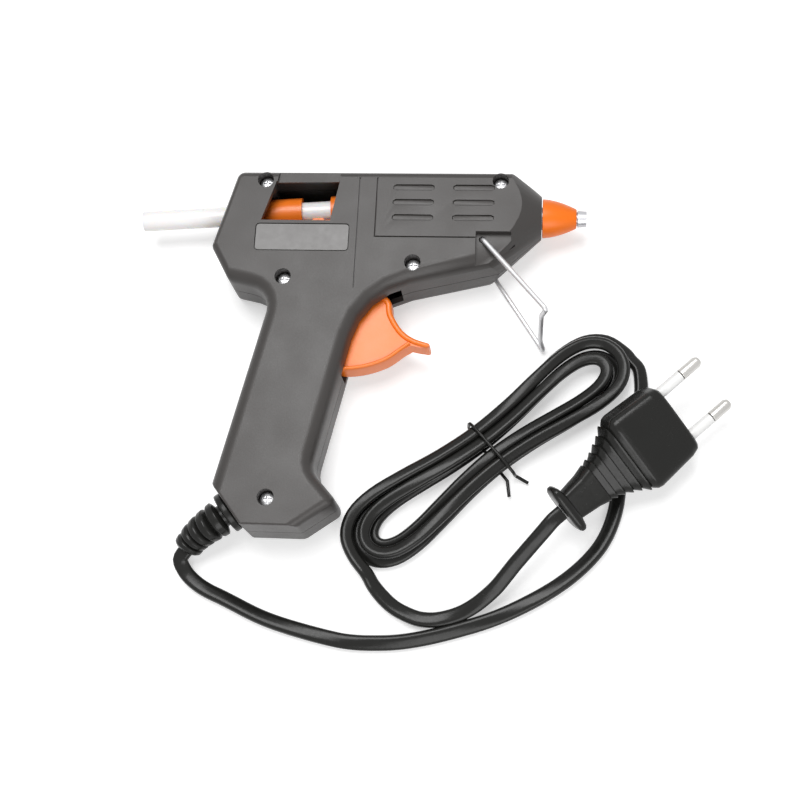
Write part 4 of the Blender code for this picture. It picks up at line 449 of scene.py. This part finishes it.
@dataclass
class Studio:
    """The camera, lamps, floor and white surroundings."""

    eye: Point = (0.0707, -0.1699, 0.465)
    target: Point = (0.0214, -0.0371, 0.0125)
    roll: float = math.radians(1.3)
    lens: float = 61.877
    sensor: float = 36.0
    floor_level: float = -0.0002
    floor_size: float = 6.0
    dome: float = 0.15

    def camera(self) -> None:
        """Sets the camera where the photograph was taken from."""
        data = bpy.data.cameras.new("camera")
        data.lens = self.lens
        data.sensor_width = self.sensor
        data.clip_start = 0.01
        ahead = (Vector(self.target) - Vector(self.eye)).normalized()
        right = ahead.cross(Vector((0.0, 1.0, 0.0))).normalized()
        above = right.cross(ahead)
        level = Vector((1.0, 0.0, 0.0))
        turn = math.atan2(level.dot(above), level.dot(right)) + self.roll
        right, above = (
            right * math.cos(turn) + above * math.sin(turn),
            above * math.cos(turn) - right * math.sin(turn),
        )
        rows = Matrix((right, above, -ahead)).transposed()
        camera = bpy.data.objects.new("camera", data)
        camera.matrix_world = Matrix.Translation(self.eye) @ rows.to_4x4()
        bpy.context.scene.collection.objects.link(camera)
        bpy.context.scene.camera = camera

    def lamp(self, name: str, place: Point, size: float, power: float) -> None:
        """Adds a square soft box that faces the gun.

        Args:
            name: the lamp's name.
            place: where it stands.
            size: its side.
            power: its power in watts.
        """
        data = bpy.data.lights.new(name, "AREA")
        data.size = size
        data.energy = power
        lamp = bpy.data.objects.new(name, data)
        lamp.location = place
        way = Vector(self.target) - Vector(place)
        lamp.rotation_euler = way.to_track_quat("-Z", "Y").to_euler()
        bpy.context.scene.collection.objects.link(lamp)

    def _seen(self, tree: bpy.types.NodeTree) -> bpy.types.NodeSocket:
        """Joins 1 for rays that see the surroundings, and 0 for those that light the gun."""
        path = tree.nodes.new("ShaderNodeLightPath")
        total = path.outputs["Is Camera Ray"]
        for name in ("Is Glossy Ray", "Is Transmission Ray"):
            both = tree.nodes.new("ShaderNodeMath")
            both.operation = "MAXIMUM"
            tree.links.new(total, both.inputs[0])
            tree.links.new(path.outputs[name], both.inputs[1])
            total = both.outputs[0]
        return total

    def surroundings(self) -> None:
        """Makes the white floor and dome."""
        world = bpy.data.worlds.new("studio")
        world.use_nodes = True
        tree = world.node_tree
        back = tree.nodes["Background"]
        back.inputs["Color"].default_value = (1.0, 1.0, 1.0, 1.0)
        level = tree.nodes.new("ShaderNodeMapRange")
        level.inputs["To Min"].default_value = self.dome
        level.inputs["To Max"].default_value = 1.0
        tree.links.new(self._seen(tree), level.inputs["Value"])
        tree.links.new(level.outputs["Result"], back.inputs["Strength"])
        bpy.context.scene.world = world
        bpy.ops.object.select_all(action="DESELECT")
        bpy.ops.mesh.primitive_plane_add(size=self.floor_size, location=(0, 0, self.floor_level))
        floor = bpy.context.object
        floor.name = "floor"
        material = bpy.data.materials.new("studio_white")
        material.use_nodes = True
        tree = material.node_tree
        shader = tree.nodes["Principled BSDF"]
        shader.inputs["Base Color"].default_value = (0.74, 0.74, 0.74, 1.0)
        shader.inputs["Roughness"].default_value = 0.9
        shader.inputs["Specular IOR Level"].default_value = 0.0
        shader.inputs["Emission Color"].default_value = (1.0, 1.0, 1.0, 1.0)
        glow = tree.nodes.new("ShaderNodeMath")
        glow.operation = "MULTIPLY"
        glow.inputs[1].default_value = 0.50
        tree.links.new(self._seen(tree), glow.inputs[0])
        tree.links.new(glow.outputs[0], shader.inputs["Emission Strength"])
        floor.data.materials.append(material)

    def set_up(self) -> None:
        """Builds the whole studio."""
        self.camera()
        self.lamp("key", (-0.07, 0.22, 0.85), 0.50, 6.5)
        self.lamp("front", (0.22, -0.62, 0.42), 0.45, 2.6)
        self.surroundings()
        bpy.context.scene.view_settings.view_transform = "Standard"


@dataclass
class MainsCord:
    """The flat two-core cord: the gun's lead, the hank and the plug's lead, in one piece."""

    bench: Workbench
    lead_width: float = 5.2 * MM
    hank_width: float = 4.3 * MM
    thickness: float = 3.2 * MM
    sides: int = 20
    fine: int = 4
    centre: Point = (0.0529, -0.0526, 0.0)
    angle: float = math.radians(39.8)
    half_length: float = 59.2 * MM
    length_pitch: float = 6.0 * MM
    bulb: float = 11.0 * MM
    bulb_pitch: float = 3.8 * MM
    waist: float = 9.2 * MM
    waist_pitch: float = 4.4 * MM
    turns: float = 3.5
    loop_points: int = 24
    level: float = 2.05 * MM
    layer: float = 4.1 * MM
    lift: float = 1.5 * MM
    twist: float = math.radians(26)
    twist_length: float = 0.13

    def hank(self) -> list[Vector]:
        """Gives the hank's loops, spiralling in on the table and out on top."""
        turn = Matrix.Rotation(self.angle, 3, "Z")
        points = []
        for step in range(round(self.turns * self.loop_points) + 1):
            turns = step / self.loop_points
            angle = 2 * math.pi * turns
            inward = self.turns / 2 - abs(turns - self.turns / 2)
            length = self.half_length - self.length_pitch * inward
            bulb = self.bulb - self.bulb_pitch * inward
            waist = self.waist - self.waist_pitch * inward
            climb = min(max((turns - self.turns / 2) * 2 + 0.5, 0.0), 1.0)
            sine, cosine = math.sin(angle), math.cos(angle)
            y = bulb * 1.5 * math.sqrt(3) * sine * cosine**2 + waist * sine**3
            z = self.level + self.layer * (3 * climb**2 - 2 * climb**3) + self.lift * sine**2
            points.append(Vector(self.centre) + turn @ Vector((length * cosine, y, z)))
        return points

    def route(self) -> tuple[list[Vector], list[float]]:
        """Joins the three stretches on one smooth line.

        Returns:
            The points, and for each how far it belongs to the hank, from 0 to 1.
        """
        lead = [Vector(point) * MM for point in LEAD_MM]
        tail = [Vector(point) * MM for point in PLUG_LEAD_MM]
        hank = self.hank()
        rough = lead + hank + tail[1:]
        first, last = len(lead), len(lead) + len(hank) - 1
        points, shares = [], []
        for index in range(len(rough) - 1):
            around = [rough[min(max(index + k, 0), len(rough) - 1)] for k in (-1, 0, 1, 2)]
            for step in range(self.fine):
                t = step / self.fine
                points.append(self._curve(around, t))
                inside = min((index + t - first) / 6 + 1, (last - index - t) / 3 + 1)
                shares.append(min(max(inside, 0.0), 1.0))
        points.append(rough[-1])
        shares.append(0.0)
        return points, shares

    def _curve(self, around: list[Vector], t: float) -> Vector:
        """Gives the point at t between the middle two of four points."""
        a, b, c, d = around
        first = (c - a) * t
        second = (a * 2 - b * 5 + c * 4 - d) * t**2
        third = (b * 3 - a - c * 3 + d) * t**3
        return b + (first + second + third) / 2

    def section(self, width: float) -> list[tuple[float, float]]:
        """Gives the cord's outline: two round cores with a shallow groove between them."""
        outline = []
        for step in range(self.sides):
            angle = 2 * math.pi * (step + 0.5) / self.sides
            side = math.copysign(abs(math.cos(angle)) ** 0.8, math.cos(angle))
            rise = math.copysign(abs(math.sin(angle)) ** 0.62, math.sin(angle))
            groove = 1 - 0.10 * math.exp(-((side / 0.2) ** 2))
            outline.append((side * width / 2, rise * groove * self.thickness / 2))
        return outline

    def build(self) -> bpy.types.Object:
        points, shares = self.route()
        rings, run = [], 0.0
        for index, point in enumerate(points):
            before, after = points[max(index - 1, 0)], points[min(index + 1, len(points) - 1)]
            ahead = (after - before).normalized()
            run += (point - before).length
            side = ahead.cross(Vector((0.0, 0.0, 1.0))).normalized()
            rise = side.cross(ahead)
            turn = self.twist * math.sin(2 * math.pi * run / self.twist_length)
            side, rise = (
                side * math.cos(turn) + rise * math.sin(turn),
                rise * math.cos(turn) - side * math.sin(turn),
            )
            share = shares[index]
            width = self.lead_width + (self.hank_width - self.lead_width) * share
            rings.append([point + side * a + rise * b for a, b in self.section(width)])
        piece = self.bench.loft("mains_cord", rings, "cord_black", 50.0)
        self.bench.close(piece, "mains_cord_lead", "cord_hank", "mains_cord_plug_lead")
        return piece


@dataclass
class StrainRelief:
    """The moulded boot at the heel: a flange, then round ribs that taper to the cord."""

    bench: Workbench
    start: float = -4.3 * MM
    neck: float = 4.0 * MM
    flange: float = 7.3 * MM
    flange_end: float = 3.0 * MM
    ribs: int = 5
    first_rib: float = 4.0 * MM
    first_radius: float = 6.5 * MM
    last_radius: float = 4.9 * MM
    end_cap: float = 1.6 * MM
    end_taper: float = 0.2
    rib_height: float = 1.3 * MM
    sides: int = 36
    step: float = 0.2 * MM

    def radius(self, run: float, length: float) -> float:
        """Gives the boot's radius at a distance from the heel.

        Args:
            run: distance from the heel's face along the boot.
            length: the boot's whole length outside.

        Returns:
            The radius there.
        """
        if run < 0.0:
            return self.neck
        if run < self.flange_end:
            edge = abs(2 * run / self.flange_end - 1)
            return self.neck + (self.flange - self.neck) * (1 - edge**6) ** 0.5
        if run < self.first_rib:
            return self.neck
        share = (run - self.first_rib) / (length - self.first_rib)
        crest = self.first_radius + (self.last_radius - self.first_radius) * share
        root = min(self.neck, crest - self.rib_height)
        turn = abs(math.sin(math.pi * self.ribs * share))
        return root + (crest - root) * min(1.0, turn * 1.25) ** 0.6

    def build(self) -> None:
        """Makes the boot along its line."""
        points = [Vector(point) * MM for point in BOOT_MM]
        runs = [self.start]
        for before, after in zip(points, points[1:]):
            runs.append(runs[-1] + (after - before).length)
        length = runs[-1]
        rings = []
        count = round((length - self.start) / self.step)
        for index in range(count + 1):
            run = self.start + (length - self.start) * index / count
            number = max(k for k in range(len(runs) - 1) if runs[k] <= run + 1e-9)
            before, after = points[number], points[number + 1]
            share = (run - runs[number]) / (runs[number + 1] - runs[number])
            centre = before.lerp(after, share)
            following = points[min(number + 2, len(points) - 1)]
            ahead = (after - before).normalized().lerp((following - before).normalized(), share)
            side = ahead.cross(Vector((0.0, 0.0, 1.0))).normalized()
            rise = side.cross(ahead).normalized()
            radius = self.radius(run, length)
            if length - run < self.end_cap:
                closing = 1 - (length - run) / self.end_cap
                radius = max(radius, self.last_radius * (1 - self.end_taper * closing))
            rings.append(
                [
                    centre + (side * math.cos(angle) + rise * math.sin(angle)) * radius
                    for angle in (2 * math.pi * k / self.sides for k in range(self.sides))
                ]
            )
        piece = self.bench.loft("strain_relief_boot", rings, "cord_black", 50.0)
        self.bench.close(piece, "strain_relief")


@dataclass
class Casing:
    """The two halves of the case, their label and their screws."""

    bench: Workbench
    rounding: float = 0.35 * MM
    sharp_edge: float = math.radians(34)
    middle: float = 12.5 * MM
    vent_depth: float = 0.6 * MM
    line_depth: float = 0.4 * MM
    deeper: float = 0.25 * MM
    vent_border: float = 0.34 * MM
    tolerance: float = 0.01 * MM
    upright: float = 0.99
    screw_rounding: float = 0.12 * MM
    head_scale: float = 1.1
    head_height: float = 1.9 * MM
    screws: int = 5

    def depth(self, place: Vector) -> float:
        """Gives how far a place lies below the case's nearer flat side."""
        return self.middle - abs(place.z - self.middle)

    def level(self, face: bpy.types.MeshPolygon, mesh: bpy.types.Mesh, depth: float) -> bool:
        """Tells whether a face lies flat at a depth below the outside."""
        depths = [self.depth(mesh.vertices[v].co) for v in face.vertices]
        level = all(abs(found - depth) < self.tolerance for found in depths)
        return level and abs(face.normal.z) > self.upright

    def weigh(self, piece: bpy.types.Object, kept: set[int]) -> None:
        """Marks the edges to round: the sharp ones, but for those of the vents and lines.

        Args:
            piece: the half.
            kept: the vertices of the vents' and lines' floors.
        """
        mesh = piece.data
        around: dict[tuple[int, int], list[bpy.types.MeshPolygon]] = {}
        for face in mesh.polygons:
            for key in face.edge_keys:
                around.setdefault(key, []).append(face)
        weights = mesh.attributes.new("bevel_weight_edge", "FLOAT", "EDGE")
        for edge in mesh.edges:
            faces = around[tuple(sorted(edge.vertices))]
            if len(faces) != 2 or any(v in kept for face in faces for v in face.vertices):
                continue
            if faces[0].normal.angle(faces[1].normal) > self.sharp_edge:
                weights.data[edge.index].value = 1.0

    def deepen(self, piece: bpy.types.Object) -> None:
        """Sinks the vents and lines a little, and raises each vent's floor inside its border.

        Args:
            piece: the half, merged but not yet rounded.
        """
        mesh = piece.data
        vents = [face.index for face in mesh.polygons if self.level(face, mesh, self.vent_depth)]
        lines = [face.index for face in mesh.polygons if self.level(face, mesh, self.line_depth)]
        kept = {v for index in vents + lines for v in mesh.polygons[index].vertices}
        log.info("%s: %d vent faces, %d line faces", piece.name, len(vents), len(lines))
        self.weigh(piece, kept)
        inward = math.copysign(self.deeper, self.middle - mesh.vertices[next(iter(kept))].co.z)
        for vertex in kept:
            mesh.vertices[vertex].co.z += inward
        self.bench.pick(piece)
        bpy.ops.object.mode_set(mode="EDIT")
        bpy.ops.mesh.select_all(action="DESELECT")
        bpy.ops.mesh.select_mode(type="FACE")
        bpy.ops.object.mode_set(mode="OBJECT")
        for index in vents:
            mesh.polygons[index].select = True
        bpy.ops.object.mode_set(mode="EDIT")
        bpy.ops.mesh.inset(thickness=self.vent_border, depth=self.deeper * 2)
        bpy.ops.mesh.select_mode(type="VERT")
        bpy.ops.object.mode_set(mode="OBJECT")

    def build(self) -> None:
        """Finishes the halves, the label and the screws."""
        for half in ("left_shell", "right_shell"):
            piece = self.bench.copy(half)
            self.deepen(piece)
            self.bench.soften(half, self.rounding, piece=piece)
        self.bench.soften("rating_label", 0.1 * MM)
        for number in range(1, self.screws + 1):
            screw = self.bench.soften(f"case_screw_{number}", self.screw_rounding)
            self.widen(screw)

    def widen(self, screw: bpy.types.Object) -> None:
        """Widens a screw's head to nearly fill its recess."""
        places = [vertex.co for vertex in screw.data.vertices]
        top = max(place.z for place in places)
        head = [place for place in places if place.z > top - self.head_height]
        centre = sum(head, Vector()) / len(head)
        for place in head:
            place.x = centre.x + (place.x - centre.x) * self.head_scale
            place.y = centre.y + (place.y - centre.y) * self.head_scale


@dataclass
class Trigger:
    """The trigger: its recessed web, the rounded finger band in front and the rim round its foot."""

    bench: Workbench
    middle: float = 12.5 * MM
    web_half: float = 3.8 * MM
    band_half: float = 4.8 * MM
    hub: float = 6.0 * MM
    proud: float = 0.15 * MM
    band_width: float = 2.5 * MM
    lip_width: float = 2.25 * MM
    rim_width: float = 1.7 * MM
    squareness: float = 3.6
    sides: int = 24
    pieces: int = 12
    blunt: float = 0.3
    spring_seat: Point = (0.0152, 0.0197, 0.0125)
    spring_left: float = 0.48

    def smooth(self, stops: tuple[Flat, ...]) -> list[Vector]:
        """Gives a smooth line through the stops, in metres."""
        rough = [Vector((*stop, 0.0)) * MM for stop in stops]
        line = []
        for index in range(len(rough) - 1):
            a, b, c, d = (rough[min(max(index + k, 0), len(rough) - 1)] for k in (-1, 0, 1, 2))
            for step in range(self.pieces):
                t = step / self.pieces
                bend = (a * 2 - b * 5 + c * 4 - d) * t**2 + (b * 3 - a - c * 3 + d) * t**3
                line.append(b + ((c - a) * t + bend) / 2)
        return line + [rough[-1]]

    def bar(self, name: str, stops: tuple[Flat, ...], widths: tuple[float, float]) -> None:
        """Lays a rounded bar along the outside of the trigger, inward of its outline.

        Args:
            name: the bar's name.
            stops: the outline that its outer side follows, with the trigger on its right hand.
            widths: its width at the start and at the end.
        """
        line = self.smooth(stops)
        power = 2 / self.squareness
        rings = []
        for index, point in enumerate(line):
            ahead = (line[min(index + 1, len(line) - 1)] - line[max(index - 1, 0)]).normalized()
            inward = Vector((ahead.y, -ahead.x, 0.0))
            share = index / (len(line) - 1)
            width = widths[0] + (widths[1] - widths[0]) * share
            rest = min((line[-1] - point).length / width * 2, 1.0)
            closing = max(math.sqrt(1 - (1 - rest) ** 2), self.blunt)
            centre = point + inward * (width / 2 - self.proud)
            ring = []
            for step in range(self.sides):
                angle = 2 * math.pi * step / self.sides
                a, b = math.cos(angle), math.sin(angle)
                u = math.copysign(abs(a) ** power, a) * width / 2 * closing
                v = math.copysign(abs(b) ** power, b) * self.band_half
                ring.append(centre + inward * u + Vector((0.0, 0.0, self.middle + v)))
            rings.append(ring)
        piece = self.bench.loft(name, rings, "orange_plastic", 50.0)
        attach(piece, "trigger")

    def web(self) -> None:
        """Makes the web, hub and arm: a copy of the node, with its square band cut down."""
        piece = self.bench.copy("trigger")
        for vertex in piece.data.vertices:
            place = vertex.co
            rise = place.z - self.middle
            if abs(rise) > self.web_half and math.hypot(place.x, place.y) > self.hub:
                place.z = self.middle + math.copysign(self.web_half, rise)
        self.bench.pick(piece)
        bpy.ops.object.mode_set(mode="EDIT")
        bpy.ops.mesh.select_all(action="SELECT")
        bpy.ops.mesh.remove_doubles(threshold=0.01 * MM)
        bpy.ops.mesh.dissolve_limited(angle_limit=math.radians(0.6))
        bpy.ops.object.mode_set(mode="OBJECT")
        self.bench.soften("trigger", 0.0, 30.0, piece)

    def spring(self) -> None:
        """Smooths the return spring and gives the copy a mesh of its own."""
        piece = self.bench.soften("return_spring", 0.0, 60.0)
        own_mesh(piece)

    def build(self) -> None:
        """Makes the web and the spring, and lays the band and the rim over the web's edges."""
        self.web()
        self.spring()
        self.bar("trigger_band", TRIGGER_FRONT_MM, (self.band_width, self.lip_width))
        self.bar("trigger_rim", TRIGGER_RIM_MM, (self.rim_width, self.rim_width))


@dataclass
class Feed:
    """What the trigger pushes."""

    bench: Workbench

    def build(self) -> None:
        """Softens the carriage, the jaw and the stick."""
        self.bench.soften("feed_carriage", 0.25 * MM)
        self.bench.soften("stick_gripper", 0.08 * MM)
        self.bench.soften("glue_stick", 0.15 * MM, 45.0)


@dataclass
class HotEnd:
    """The nozzle, its sleeve and the wire stand in front."""

    bench: Workbench

    def build(self) -> None:
        """Softens the nozzle, its sleeve and the stand."""
        self.bench.soften("nozzle_sleeve", 0.3 * MM, 45.0)
        self.bench.soften("nozzle_tip", 0.12 * MM, 45.0)
        self.bench.soften("stand_wire", 0.0, 60.0)


@dataclass
class Plug:
    """The moulded two-pin plug and the tie round the hank."""

    bench: Workbench
    collar: Point = (0.0778, -0.0750, 0.0145)
    face: Point = (0.1139, -0.0413, 0.0145)
    roll: float = math.radians(30)
    half_width: float = 15.0 * MM
    half_thickness: float = 6.85 * MM
    squareness: float = 5.0
    sides: int = 56
    steps: int = 150
    grip: tuple[float, float] = (0.30, 0.62)
    teeth: int = 6
    tooth_depth: float = 0.085
    sections: tuple[Point, ...] = (
        (0.000, 0.42, 0.48),
        (0.006, 0.54, 0.60),
        (0.022, 0.60, 0.67),
        (0.045, 0.60, 0.67),
        (0.062, 0.54, 0.60),
        (0.072, 0.36, 0.52),
        (0.22, 0.42, 0.60),
        (0.38, 0.56, 0.70),
        (0.50, 0.76, 0.82),
        (0.58, 0.96, 0.95),
        (0.64, 1.00, 1.00),
        (0.93, 0.93, 1.00),
        (0.985, 0.88, 0.93),
        (1.00, 0.82, 0.84),
    )

    def size(self, share: float) -> tuple[float, float]:
        """Gives the body's half width and half thickness at a share of its length."""
        for (s0, w0, t0), (s1, w1, t1) in zip(self.sections, self.sections[1:]):
            if share <= s1:
                part = (share - s0) / (s1 - s0)
                width, thickness = w0 + (w1 - w0) * part, t0 + (t1 - t0) * part
                break
        low, high = self.grip
        if low < share < high:
            tooth = (share - low) / (high - low) * self.teeth % 1.0
            notch = self.tooth_depth * (1 - min(tooth * 1.3, 1.0))
            width, thickness = width * (1 - notch), thickness * (1 - notch * 1.6)
        return width * self.half_width, thickness * self.half_thickness

    def body(self) -> None:
        """Makes the plug's body: collar, neck, stepped grip and block."""
        start, end = Vector(self.collar), Vector(self.face)
        axis = (end - start).normalized()
        flat = Vector((-axis.y, axis.x, 0.0))
        wide = flat * math.cos(self.roll) + Vector((0.0, 0.0, math.sin(self.roll)))
        thick = axis.cross(wide)
        power = 2 / self.squareness
        rings = []
        for index in range(self.steps + 1):
            share = index / self.steps
            width, thickness = self.size(share)
            ring = []
            for step in range(self.sides):
                angle = 2 * math.pi * step / self.sides
                a, b = math.cos(angle), math.sin(angle)
                u = math.copysign(abs(a) ** power, a) * width
                v = math.copysign(abs(b) ** power, b) * thickness
                ring.append(start.lerp(end, share) + wide * u + thick * v)
            rings.append(ring)
        piece = self.bench.loft("plug_body_finished", rings, "cord_black", 38.0)
        self.bench.close(piece, "plug_body")

    def build(self) -> None:
        """Makes the body and softens the pins, sleeves and tie."""
        self.body()
        for number in (1, 2):
            self.bench.soften(f"plug_pin_{number}", 0.2 * MM, 45.0)
            self.bench.soften(f"pin_sleeve_{number}", 0.1 * MM, 45.0)
        self.bench.soften("cord_tie", 0.0, 60.0)


def main() -> None:
    """Builds the studio, the cord and the gun's sub-assemblies, in that order."""
    logging.basicConfig(level=logging.INFO, format="%(name)s: %(message)s")
    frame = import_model()
    Studio().set_up()
    bench = Workbench(frame)
    bench.dress_nodes()
    Plug(bench).build()
    MainsCord(bench).build()
    StrainRelief(bench).build()
    Casing(bench).build()
    Trigger(bench).build()
    Feed(bench).build()
    HotEnd(bench).build()


if __name__ == "__main__":
    main()
